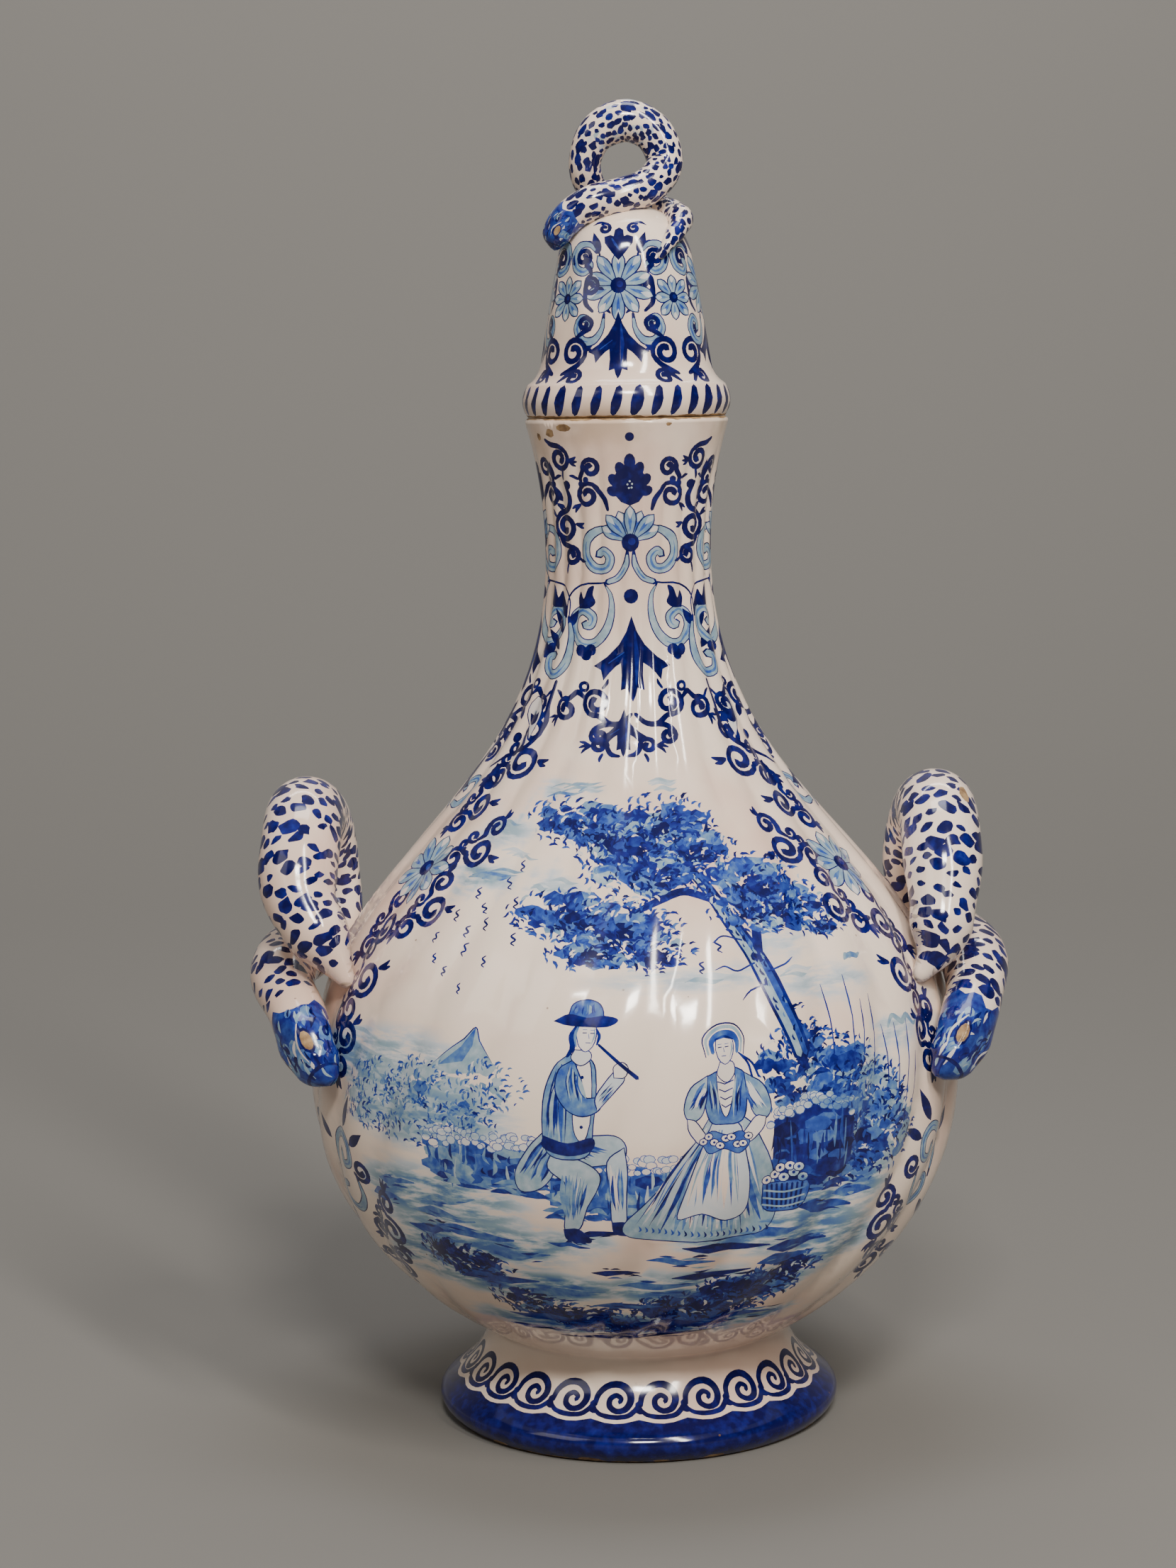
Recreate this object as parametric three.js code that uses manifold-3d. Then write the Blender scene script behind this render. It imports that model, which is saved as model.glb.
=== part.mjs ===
// A covered bottle vase in blue and white tin-glazed earthenware: a spirally fluted pear-shaped body
// on a spreading foot, a snake coiled into a handle on each shoulder, and a bell-shaped lid with a
// smaller coiled snake for its knob. Millimetres, +Z up, the foot's centre at the origin, front is -Y.
import * as THREE from 'three';
import { mergeVertices } from 'three/addons/utils/BufferGeometryUtils.js';
import Module from 'manifold-3d';

// Driving dimensions
const foot = {
  standRadius: 76,      // where it meets the table
  edgeRadius: 80.5,     // widest point of the rounded edge
  edgeHeight: 7.5,
  flareRadius: 78,      // top of the rounded edge
  flareHeight: 11.5,
  ringWidth: 15,        // flat ring that the vase stands on
  hollowHeight: 31,     // underside is hollow up to here
};
const body = {
  stemRadius: 60.5,
  stemHeight: 36,
  bellyRadius: 129.5,
  bellyHeight: 138,
  neckRadius: 32.6,
  neckHeight: 345,
  rimRadius: 40,
  rimHeight: 398,
  wall: 7,
  floor: 10,            // thickness of the bottom over the hollow foot
  mouthRadius: 31,      // bore that the lid's collar drops into
  mouthDepth: 14,
};
const flutes = {
  count: 24,
  depth: 2.2,           // crest to valley at the belly
  turn: 0.34,           // degrees of twist per millimetre of height, at the belly
  steps: 3,             // facets across one flute
};
const handle = {
  height: 90,           // of the coil, outside
  seatHeight: 184,      // where the coil crosses itself, beside the shoulder
  thickness: 32,        // of the snake at the top of its coil
};
// The two are made by hand and differ: how far the coil leans out, and how far its crossing stands out
const handles = [
  { side: 1, leanOut: 0, crossingOut: -3 },
  { side: -1, leanOut: 9, crossingOut: 0.5 },
];
const lid = {
  height: 82.2,         // from its seat to the top of the dome
  seatRadius: 38.6,
  beadRadius: 40.8,
  beadHeight: 12.7,
  waistRadius: 32,
  waistHeight: 25.7,
  shoulderRadius: 26.4,
  shoulderHeight: 60.7,
  wall: 5,
  collarDepth: 9,
  collarWall: 4,
  collarClearance: 1.2,
  seatGap: 0.3,
};
const knob = {
  height: 43.5,         // of the snake's coil, outside
  sink: 4,              // how far the coil sits below the top of the dome
  thickness: 16.4,      // of the snake at the top of its coil
};
const glaze = { color: 0xe6ddd4, roughness: 0.18, metalness: 0 };

const wasm = await Module();
wasm.setup();
const deg = Math.PI / 180;

// Solids and meshes
function toSolid(geometry) {
  const plain = geometry.clone();
  plain.deleteAttribute('normal');
  plain.deleteAttribute('uv');
  const merged = mergeVertices(plain, 1e-4);
  return new wasm.Manifold(new wasm.Mesh({
    numProp: 3,
    vertProperties: new Float32Array(merged.attributes.position.array),
    triVerts: new Uint32Array(merged.index.array),
  }));
}

function toMesh(solid, name) {
  const data = solid.getMesh();
  const geometry = new THREE.BufferGeometry();
  geometry.setAttribute('position', new THREE.BufferAttribute(new Float32Array(data.vertProperties), 3));
  geometry.setIndex(new THREE.BufferAttribute(new Uint32Array(data.triVerts), 1));
  geometry.computeVertexNormals();
  const mesh = new THREE.Mesh(geometry, new THREE.MeshStandardMaterial(glaze));
  mesh.name = name;
  return mesh;
}

function moveVertices(geometry, place) {
  const position = geometry.attributes.position;
  const point = new THREE.Vector3();
  for (let i = 0; i < position.count; i++) {
    point.fromBufferAttribute(position, i);
    place(point, i);
    position.setXYZ(i, point.x, point.y, point.z);
  }
  return geometry;
}

// A profile of (radius, height) points that starts and ends on the axis, turned about Z
function turned(profile, sides) {
  return new THREE.LatheGeometry(profile, sides).rotateX(Math.PI / 2);
}

function bezier(points, pieces) {
  return new THREE.CubicBezierCurve(...points.map(([r, z]) => new THREE.Vector2(r, z))).getPoints(pieces);
}

function joined(...sections) {
  const all = sections.flat();
  return all.filter((p, i) => i === 0 || p.distanceTo(all[i - 1]) > 1e-6);
}

// Outline of the vase, from the table up to the rim
const edgePull = foot.edgeRadius * 2 - (foot.standRadius + foot.flareRadius) / 2;
const footProfile = joined(
  new THREE.QuadraticBezierCurve(
    new THREE.Vector2(foot.standRadius, 0),
    new THREE.Vector2(edgePull, foot.edgeHeight * 0.85),
    new THREE.Vector2(foot.flareRadius, foot.flareHeight),
  ).getPoints(4),
  bezier([
    [foot.flareRadius, foot.flareHeight],
    [foot.flareRadius - 10, foot.flareHeight + 6.5],
    [body.stemRadius, body.stemHeight - 9],
    [body.stemRadius, body.stemHeight],
  ], 5),
);
const wallProfile = joined(
  bezier([
    [body.stemRadius, body.stemHeight],
    [body.stemRadius + 38, body.stemHeight + 20],
    [body.bellyRadius, body.bellyHeight - 47],
    [body.bellyRadius, body.bellyHeight],
  ], 6),
  bezier([
    [body.bellyRadius, body.bellyHeight],
    [body.bellyRadius, body.bellyHeight + 91],
    [body.neckRadius, body.neckHeight - 103],
    [body.neckRadius, body.neckHeight],
  ], 11),
  bezier([
    [body.neckRadius, body.neckHeight],
    [body.neckRadius, body.neckHeight + 20],
    [body.rimRadius - 4, body.rimHeight - 14],
    [body.rimRadius, body.rimHeight],
  ], 4),
);

function wallRadius(z) {
  const above = Math.max(1, wallProfile.findIndex((p) => p.y > z));
  const [a, b] = [wallProfile[above - 1], wallProfile[above]];
  return THREE.MathUtils.mapLinear(z, a.y, b.y, a.x, b.x);
}

// The flutes run from the stem to below the rim, shallower where the vase is slim, and lean to the
// front viewer's left going down. The twist dies out up the neck.
function twist(z) {
  const fade = (body.rimHeight - body.bellyHeight) * 0.8;
  return flutes.turn * deg * fade * (1 - Math.exp(-(z - body.stemHeight) / fade));
}

function fluteDepth(r, z) {
  const start = THREE.MathUtils.smoothstep(z, body.stemHeight, body.stemHeight + 22);
  const end = 1 - THREE.MathUtils.smoothstep(z, body.rimHeight - 30, body.rimHeight - 6);
  return flutes.depth * Math.sqrt(r / body.bellyRadius) * start * end;
}

function fluted(geometry, sides) {
  return moveVertices(geometry, (p) => {
    const r = Math.hypot(p.x, p.y);
    if (r < 1e-6) return;
    const side = Math.round((Math.atan2(p.y, p.x) / (2 * Math.PI)) * sides);
    const across = (((side % flutes.steps) + flutes.steps) % flutes.steps) / flutes.steps;
    const valley = fluteDepth(r, p.z) * (1 - Math.sin(Math.PI * across));
    const angle = (side / sides) * 2 * Math.PI + twist(p.z);
    p.set((r - valley) * Math.cos(angle), (r - valley) * Math.sin(angle), p.z);
  });
}

// The hollow follows the outline one wall thickness inside, and ends in a straight mouth
function insideProfile() {
  const floorTop = foot.hollowHeight + body.floor;
  const mouthBottom = body.rimHeight - body.mouthDepth;
  const inner = [];
  for (let i = 1; i < wallProfile.length - 1; i++) {
    const along = wallProfile[i + 1].clone().sub(wallProfile[i - 1]).normalize();
    const p = wallProfile[i].clone().add(new THREE.Vector2(-along.y, along.x).multiplyScalar(body.wall));
    if (p.y > floorTop + 2 && p.y < mouthBottom - 6) inner.push(p);
  }
  const floorRadius = inner[0].x - (inner[0].y - floorTop);
  return [
    new THREE.Vector2(0, floorTop),
    new THREE.Vector2(floorRadius, floorTop),
    ...inner,
    new THREE.Vector2(body.mouthRadius, mouthBottom),
    new THREE.Vector2(body.mouthRadius, body.rimHeight + 5),
    new THREE.Vector2(0, body.rimHeight + 5),
  ];
}

function footHollowProfile() {
  const mouth = foot.standRadius - foot.ringWidth;
  return [
    new THREE.Vector2(0, -5),
    new THREE.Vector2(mouth, -5),
    new THREE.Vector2(mouth, 0),
    new THREE.Vector2(body.stemRadius - body.wall, foot.hollowHeight - 7),
    new THREE.Vector2(body.stemRadius - body.wall - 5, foot.hollowHeight),
    new THREE.Vector2(0, foot.hollowHeight),
  ];
}

// A snake: a drum of unit size bent along a smooth route, with its own girth at each share of its length
function snake(route, girths, sides, steps) {
  const curve = new THREE.CatmullRomCurve3(route, false, 'centripetal');
  const frames = curve.computeFrenetFrames(steps, false);
  const drum = new THREE.CylinderGeometry(1, 1, 1, sides, steps);
  return moveVertices(drum, (p) => {
    const row = Math.round((0.5 - p.y) * steps);
    const share = row / steps;
    const centre = curve.getPointAt(share);
    const girth = girthAt(girths, share);
    const [across, through] = [p.x * girth, p.z * girth];
    p.copy(centre)
      .addScaledVector(frames.normals[row], across)
      .addScaledVector(frames.binormals[row], through);
  });
}

// Smooth steps between pairs of (share of the length, radius)
function girthAt(girths, share) {
  const next = Math.max(1, girths.findIndex(([s]) => s >= share));
  const [[s0, r0], [s1, r1]] = [girths[next - 1], girths[next]];
  return THREE.MathUtils.lerp(r0, r1, THREE.MathUtils.smoothstep(share, s0, s1));
}

// Each handle: the tail lies on the wall, the coil rises in front, goes over and down behind, passes
// outside and ends in a head that rests on the front of the belly. Shares of the coil's height.
function handleRoute({ side, leanOut, crossingOut }) {
  const h = handle.height;
  const seat = wallRadius(handle.seatHeight);
  const out = (x, y, z, extra) => (
    new THREE.Vector3(side * (seat + x * h + extra), y * h, handle.seatHeight + z * h)
  );
  const coil = (x, y, z) => out(x, y, z, leanOut * Math.min(1, z / 0.33));
  const crossing = (x, y, z) => out(x, y, z, crossingOut);
  const onWall = (angle, dz, lift) => {
    const z = handle.seatHeight + dz * h;
    const r = wallRadius(z) + lift * h;
    return new THREE.Vector3(side * r * Math.cos(angle * deg), -r * Math.sin(angle * deg), z);
  };
  return [
    onWall(24, -0.03, -0.02),
    onWall(20.5, 0.11, 0.115),
    coil(0.01, -0.37, 0.34),
    coil(0.015, -0.2, 0.565),
    coil(0.015, 0.03, 0.64),
    coil(0, 0.25, 0.555),
    coil(-0.025, 0.35, 0.33),
    coil(0.02, 0.3, 0.13),
    crossing(0.13, 0.15, 0.04),
    crossing(0.2, -0.05, 0),
    crossing(0.195, -0.27, -0.06),
    onWall(18, -0.15, 0.14),
    onWall(23.5, -0.25, 0.11),
    onWall(27.5, -0.345, 0.07),
    onWall(30, -0.4, 0.03),
  ];
}

function handleSnake(hand) {
  const r = handle.thickness / 2;
  const girths = [
    [0, 0.2 * r], [0.1, 0.8 * r], [0.2, r], [0.42, r], [0.58, 0.9 * r], [0.74, 0.84 * r],
    [0.84, 0.71 * r], [0.91, 0.7 * r], [0.96, 0.58 * r], [1, 0.32 * r],
  ];
  return toSolid(snake(handleRoute(hand), girths, 10, 32));
}

function vaseSolid() {
  const sides = flutes.count * flutes.steps;
  const outline = joined(
    [new THREE.Vector2(0, 0)],
    footProfile,
    wallProfile,
    [new THREE.Vector2(0, body.rimHeight)],
  );
  const pear = toSolid(fluted(turned(outline, sides), sides));
  return handles.reduce((solid, hand) => solid.add(handleSnake(hand)), pear)
    .subtract(toSolid(turned(insideProfile(), 36)))
    .subtract(toSolid(turned(footHollowProfile(), 36)));
}

// Lid, drawn from its seat at height 0
function lidProfile() {
  const beadPull = lid.beadRadius * 2 - lid.seatRadius;
  return joined(
    [new THREE.Vector2(0, 0)],
    new THREE.QuadraticBezierCurve(
      new THREE.Vector2(lid.seatRadius, 0),
      new THREE.Vector2(beadPull, lid.beadHeight * 0.45),
      new THREE.Vector2(lid.seatRadius, lid.beadHeight),
    ).getPoints(5),
    new THREE.QuadraticBezierCurve(
      new THREE.Vector2(lid.seatRadius, lid.beadHeight),
      new THREE.Vector2(lid.waistRadius + 1.6, lid.beadHeight + 2.5),
      new THREE.Vector2(lid.waistRadius, lid.waistHeight),
    ).getPoints(4),
    bezier([
      [lid.waistRadius, lid.waistHeight],
      [lid.waistRadius - 1, lid.waistHeight + 10],
      [lid.shoulderRadius + 2.2, lid.shoulderHeight - 13],
      [lid.shoulderRadius, lid.shoulderHeight],
    ], 3),
    bezier([
      [lid.shoulderRadius, lid.shoulderHeight],
      [lid.shoulderRadius - 1.4, lid.shoulderHeight + 11],
      [lid.shoulderRadius * 0.6, lid.height],
      [0, lid.height],
    ], 5),
  );
}

function lidHollowProfile() {
  const collarInside = body.mouthRadius - lid.collarClearance - lid.collarWall;
  return [
    new THREE.Vector2(0, -lid.collarDepth - 5),
    new THREE.Vector2(collarInside, -lid.collarDepth - 5),
    new THREE.Vector2(collarInside, lid.waistHeight),
    new THREE.Vector2(lid.shoulderRadius - lid.wall, lid.shoulderHeight),
    new THREE.Vector2(lid.shoulderRadius * 0.5, lid.height - lid.wall - 4),
    new THREE.Vector2(0, lid.height - lid.wall - 2),
  ];
}

function collarProfile() {
  const outside = body.mouthRadius - lid.collarClearance;
  return [
    new THREE.Vector2(0, -lid.collarDepth),
    new THREE.Vector2(outside - 1, -lid.collarDepth),
    new THREE.Vector2(outside, -lid.collarDepth + 1),
    new THREE.Vector2(outside, 3),
    new THREE.Vector2(0, 3),
  ];
}

// The knob: the tail lies on the right of the dome, passes behind, rises on the left into an upright
// ring, comes down on the right and crosses the front to the head, which hangs over the left edge.
function knobRoute() {
  const h = knob.height;
  const base = lid.height - knob.sink;
  const at = (x, y, z) => new THREE.Vector3(x * h, y * h, base + z * h);
  return [
    at(0.3, -0.53, -0.42),
    at(0.4, -0.46, -0.27),
    at(0.49, -0.27, -0.12),
    at(0.46, 0, -0.02),
    at(0.26, 0.2, 0.06),
    at(0, 0.24, 0.09),
    at(-0.25, 0.16, 0.19),
    at(-0.345, 0.03, 0.43),
    at(-0.24, 0, 0.7),
    at(0.02, 0, 0.815),
    at(0.27, -0.01, 0.7),
    at(0.365, -0.05, 0.43),
    at(0.22, -0.18, 0.23),
    at(-0.03, -0.28, 0.14),
    at(-0.28, -0.33, 0.08),
    at(-0.47, -0.33, -0.03),
    at(-0.585, -0.32, -0.18),
    at(-0.62, -0.3, -0.33),
  ];
}

function knobSnake() {
  const r = knob.thickness / 2;
  const girths = [
    [0, 0.2 * r], [0.08, 0.45 * r], [0.14, 0.66 * r], [0.3, 0.66 * r], [0.42, 0.76 * r],
    [0.55, r], [0.7, 0.87 * r], [0.86, 0.84 * r], [0.93, 0.78 * r], [0.97, 0.68 * r], [1, 0.3 * r],
  ];
  return toSolid(snake(knobRoute(), girths, 8, 38));
}

function lidSolid() {
  return toSolid(turned(lidProfile(), 40))
    .add(toSolid(turned(collarProfile(), 40)))
    .add(knobSnake())
    .subtract(toSolid(turned(lidHollowProfile(), 24)));
}

const vase = toMesh(vaseSolid(), 'vase');
const cover = toMesh(lidSolid(), 'lid');
cover.position.z = body.rimHeight + lid.seatGap;

const snakeVase = new THREE.Group();
snakeVase.add(vase, cover);
export default snakeVase;
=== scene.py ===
import math
import random
from functools import partial
import bmesh
import bpy
import numpy as np
from mathutils import Matrix, Vector
from mathutils.geometry import delaunay_2d_cdt


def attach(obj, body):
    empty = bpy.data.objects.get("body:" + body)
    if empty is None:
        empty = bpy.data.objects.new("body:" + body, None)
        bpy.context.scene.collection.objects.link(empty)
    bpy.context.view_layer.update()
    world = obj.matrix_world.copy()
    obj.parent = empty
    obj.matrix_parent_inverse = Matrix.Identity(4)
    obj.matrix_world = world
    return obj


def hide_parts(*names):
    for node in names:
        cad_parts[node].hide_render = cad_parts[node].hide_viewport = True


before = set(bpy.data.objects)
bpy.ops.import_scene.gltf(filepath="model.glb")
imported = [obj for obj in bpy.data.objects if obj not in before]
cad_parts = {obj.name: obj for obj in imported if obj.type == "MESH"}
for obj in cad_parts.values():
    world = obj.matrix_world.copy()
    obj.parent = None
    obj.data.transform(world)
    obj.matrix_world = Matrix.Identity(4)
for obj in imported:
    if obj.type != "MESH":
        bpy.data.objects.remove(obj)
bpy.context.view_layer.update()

# The vase is painted in its own mesh: each surface is unrolled flat, the brush strokes are laid on it as
# outlines, one triangulation takes them all in, and the sheet is rolled back on to the form. Every face
# then knows how much cobalt lies on it, from bare glaze at 0 to solid dark blue at 1. Painting is in
# millimetres, the finished meshes are in metres.

mm = 0.001
turn = 2 * math.pi


# outlines and runs

def bezierRun(points, pieces):
    p = np.array(points, float)
    t = np.linspace(0, 1, pieces + 1)[:, None]
    if len(p) == 3:
        return (1 - t) ** 2 * p[0] + 2 * t * (1 - t) * p[1] + t ** 2 * p[2]
    return (1 - t) ** 3 * p[0] + 3 * t * (1 - t) ** 2 * p[1] + 3 * t ** 2 * (1 - t) * p[2] + t ** 3 * p[3]


def profileOf(*runs):
    pts = np.vstack([np.array(r, float) for r in runs])
    step = np.hypot(*np.diff(pts, axis=0).T)
    pts = pts[np.r_[True, step > 1e-6]]
    along = np.r_[0, np.cumsum(np.hypot(*np.diff(pts, axis=0).T))]
    fine = np.arange(0, along[-1], 0.5)
    fine = np.unique(np.r_[fine, along])
    return {"s": fine, "r": np.interp(fine, along, pts[:, 0]), "z": np.interp(fine, along, pts[:, 1])}


def smoothLine(points, pieces=8):
    p = np.array(points, float)
    if len(p) == 2:
        return p[0] + (p[1] - p[0]) * np.linspace(0, 1, pieces + 1)[:, None]
    p = np.vstack([2 * p[0] - p[1], p, 2 * p[-1] - p[-2]])
    out = []
    for a, b, c, d in zip(p, p[1:], p[2:], p[3:]):
        t = np.linspace(0, 1, pieces, endpoint=False)[:, None]
        out.append(0.5 * (2 * b + (c - a) * t + (2 * a - 5 * b + 4 * c - d) * t ** 2
                          + (3 * b - a - 3 * c + d) * t ** 3))
    return np.vstack(out + [p[-2:-1]])


def turned(points, degrees, x=0.0, y=0.0):
    c, s = math.cos(math.radians(degrees)), math.sin(math.radians(degrees))
    px, py = np.asarray(points, float).T
    return np.column_stack([x + px * c - py * s, y + px * s + py * c])


# brush work, on a skin: a dictionary with the sheet's unit, radiusAt and runAt, and its list of marks

def spotOn(skin, azimuth, height, lean=0, size=1, flip=1):
    v0 = skin["runAt"](height)
    u0 = math.radians(azimuth) * skin["unit"]

    def at(points):
        x, y = turned(np.atleast_2d(np.array(points, float)) * size * (flip, 1), lean).T
        v = v0 + y
        return np.column_stack([u0 + x * skin["unit"] / skin["radiusAt"](v), v])
    return at


def thinned(p, slack=0.1):
    # without the points that lie on the line between their neighbours
    for odd in (0, 1, 0, 1, 0, 1):
        if len(p) < 7:
            break
        behind, run = np.roll(p, 1, 0), np.roll(p, -1, 0) - np.roll(p, 1, 0)
        off = np.abs(run[:, 0] * (p - behind)[:, 1] - run[:, 1] * (p - behind)[:, 0])
        p = p[(off > slack * np.hypot(*run.T)) | (np.arange(len(p)) % 2 == odd)]
    return p


def fill(skin, outline, level, bare=0):
    p = np.array(outline, float)
    p = p[np.r_[True, np.hypot(*np.diff(p, axis=0).T) > 1e-3]]
    if np.hypot(*(p[0] - p[-1])) < 1e-3:
        p = p[:-1]
    p = thinned(p)
    x, y = p.T
    area = 0.5 * np.sum(x * np.roll(y, -1) - np.roll(x, -1) * y)
    if len(p) < 3 or abs(area) < 0.01:
        return
    skin["marks"].append((p if area > 0 else p[::-1], level, bare, abs(area)))


def brush(skin, path, width, level, ends=(0.35, 0.25), belly=1.0, bare=0):
    p = np.array(path, float)
    k = skin["unit"] / np.maximum(skin["radiusAt"](p[:, 1]), 1)
    t = np.gradient(p, axis=0)
    t[:, 0] /= k
    t /= np.maximum(np.hypot(*t.T), 1e-9)[:, None]
    share = np.linspace(0, 1, len(p))
    w = width / 2 * np.interp(share, [0, 0.3, 0.65, 1], [ends[0], 1, belly, ends[1]])
    side = np.column_stack([-t[:, 1] * w * k, t[:, 0] * w])
    ahead = np.column_stack([t[:, 0] * w * k, t[:, 1] * w])
    fill(skin, np.vstack([p[:1] - ahead[:1], p + side, p[-1:] + ahead[-1:], (p - side)[::-1]]), level, bare)


def stroke(skin, at, points, width, level, ends=(0.35, 0.25), belly=1.0, pieces=4):
    brush(skin, at(smoothLine(points, pieces)), width, level, ends, belly)


def ring(cx, cy, rx, ry=None, sides=12, lean=0):
    a = np.linspace(0, turn, sides, endpoint=False)
    return turned(np.column_stack([rx * np.cos(a), (ry or rx) * np.sin(a)]), lean, cx, cy)


def spiral(cx, cy, r, start, turns, hand=1, inner=0.26):
    steps = max(11, int(turns * (11 + r)))
    t = np.linspace(0, 1, steps)
    a = math.radians(start) + hand * turn * turns * t
    d = r * (1 - (1 - inner) * t ** 1.25)
    return np.column_stack([cx + d * np.cos(a), cy + d * np.sin(a)])


def curl(skin, at, cx, cy, r, start, turns=1.35, hand=1, width=1.7, level=0.98, lead=()):
    width *= 1.25
    path = spiral(cx, cy, r, start, turns, hand)
    brush(skin, at(path), width, level, (0.75, 1.15))
    if len(lead):
        stroke(skin, at, list(lead) + [path[0], path[2]], width, level, (0.6, 0.7), pieces=6)


def scroll(skin, at, points, width=3.4, level=0.34, tail=0.3):
    # a light band with a thin dark outline and a darker streak, widest in its curl
    path = smoothLine(points, 6)
    brush(skin, at(path), width, 0.93, (tail, 0.85), 1.0)
    inner = path[2:-1]
    brush(skin, at(inner), width - 0.85, level, (tail, 0.8), 1.0)
    brush(skin, at(inner[len(inner) // 3: -3]), width * 0.24, level + 0.2, (0.3, 0.3))


def dot(skin, at, x, y, rx, level, ry=None, sides=12, lean=0):
    fill(skin, at(ring(x, y, rx, ry, sides, lean)), level)


def bloom(skin, at, x, y, tiers):
    # discs on one another, from the widest: width, height, sides and level of each
    for rx, ry, sides, level in tiers:
        dot(skin, at, x, y, rx, level, ry, sides)


def leafShape(x, y, length, width, lean, bend=0.0):
    t = np.linspace(0, 1, 8)
    half = width / 2 * np.sin(math.pi * t ** 0.75)
    mid = bend * length * np.sin(math.pi * t)
    return turned(np.vstack([np.column_stack([mid + half, t * length]),
                             np.column_stack([mid - half, t * length])[-2:0:-1]]), lean, x, y)


def leaf(skin, at, x, y, length, width, lean, level=0.97, bend=0.0):
    fill(skin, at(leafShape(x, y, length, width, lean, bend)), level)


def petal(skin, at, x, y, length, width, lean, level=0.34):
    # the dark outline, the light body, a streak up its middle and a paler tip
    t = np.linspace(0, 1, 9)
    for start, end, half, tone in ((0, length, width / 2, 0.95),
                                   (length * 0.04, length - 0.4, width / 2 - 0.52, level),
                                   (length * 0.3, length * 0.74, width * 0.13, level + 0.2),
                                   (length * 0.62, length - 0.8, width * 0.2, max(0.12, level - 0.2))):
        w = half * np.sin(math.pi * t ** 1.6) ** 0.72
        rise = start + (end - start) * t
        edge = np.vstack([np.column_stack([w, rise]), np.column_stack([-w, rise])[-2:0:-1]])
        fill(skin, at(turned(edge, lean, x, y)), tone)


def daisy(skin, at, x, y, r, petals=10, spread=360, start=90, heart=0.22):
    count = petals if spread == 360 else petals - 1
    for i in list(range(0, petals, 2)) + list(range(1, petals, 2)):
        petal(skin, at, x, y, r * (1.02 if i % 2 else 0.93), r * (3.9 if spread == 360 else 2.6) / petals,
              start - 90 + spread * i / count, 0.3 + 0.1 * ((i * 3) % 4) / 3)
    dot(skin, at, x, y, r * heart, 0.98)
    dot(skin, at, x + r * 0.04, y + r * 0.03, r * heart * 0.4, 0.8)


def ticks(skin, at, x, y, lean, count=3, length=3.6, width=1.35, level=0.95):
    for i in range(count):
        a = math.radians(lean + (i - (count - 1) / 2) * 30)
        tip = (x + length * math.cos(a), y + length * math.sin(a))
        mid = (x + 0.55 * length * math.cos(a + 0.15), y + 0.55 * length * math.sin(a + 0.15))
        stroke(skin, at, [(x, y), mid, tip], width, level, (0.85, 0.45), pieces=3)


def sprig(skin, at, level=0.97):
    # a large curl with a smaller one on each side, small loops between them and ticks at the ends
    curl(skin, at, 0, 0, 5.8, 30, 1.35, -1, 2.3, level)
    curl(skin, at, 10.6, 3.0, 4.5, 150, 1.25, -1, 2.05, level, [(4.8, 1.0), (6.0, 3.6)])
    curl(skin, at, -7.6, 7.4, 4.2, 20, 1.25, 1, 1.95, level, [(0.6, 6.0), (-2.4, 6.6)])
    curl(skin, at, 1.4, 8.2, 2.5, -100, 0.95, 1, 1.7, level)
    curl(skin, at, 5.6, 7.0, 2.2, -100, 0.95, 1, 1.7, level)
    ticks(skin, at, 14.6, 4.4, 20, 3, 4.6, 2.0, level)
    ticks(skin, at, -4.8, -4.4, 235, 2, 4.2, 2.0, level)
    ticks(skin, at, -11.0, 9.4, 150, 2, 3.8, 2.0, level)


def arrowLeaf(skin, at, x, y, size, level=0.99):
    # a dark leaf of five blades that hang from one point
    half = [(0, 1.0), (0.17, 0.5), (0.42, 0.08), (0.8, -0.3), (1.26, -0.6), (1.0, -0.72), (0.93, -1.06),
            (0.74, -0.82), (0.54, -0.62), (0.36, -0.5), (0.34, -0.9), (0.38, -1.38), (0.16, -1.3),
            (0.1, -1.55), (0, -1.76)]
    outline = half + [(-px, py) for px, py in half[-2:0:-1]]
    s = size * 0.72
    fill(skin, at([(x + px * s, y + (py + 0.3) * s) for px, py in outline]), level)
    brush(skin, at([(x + 0.1 * s, y + 0.8 * s), (x + 0.16 * s, y), (x + 0.12 * s, y - 0.9 * s)]), 0.16 * s,
          level - 0.2, (0.3, 0.3))
    brush(skin, at([(x - 0.25 * s, y + 0.15 * s), (x - 0.75 * s, y - 0.2 * s)]), 0.12 * s, level - 0.22,
          (0.3, 0.3))


def palmette(skin, at, x, y, size, level=1.0):
    # a crown of seven round lobes over a pointed base
    for dx, dy, rx, ry, lean in ((0, 0.62, 0.13, 0.2, 0), (0.2, 0.46, 0.12, 0.18, -20),
                                 (0.34, 0.22, 0.12, 0.17, -40), (0.38, -0.02, 0.11, 0.14, -57.3)):
        for side in (1, -1) if dx else (1,):
            dot(skin, at, x + side * dx * size, y + dy * size, rx * size, level, ry * size, 12, side * lean)
    body = [(0, -0.34), (0.2, -0.26), (0.4, -0.02), (0.38, 0.24), (0.24, 0.5), (0, 0.62)]
    fill(skin, at([(x + px * size, y + py * size) for px, py in body + [(-px, py) for px,
                                                                        py in body[-2:0:-1]]]), level)
    for dx, dy in ((-0.05, 0.13), (0.05, 0.14), (-0.02, 0.05), (0.04, 0.06), (0.0, 0.2)):
        dot(skin, at, x + dx * size, y + dy * size, size * 0.024, 0.2, sides=6)


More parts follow.
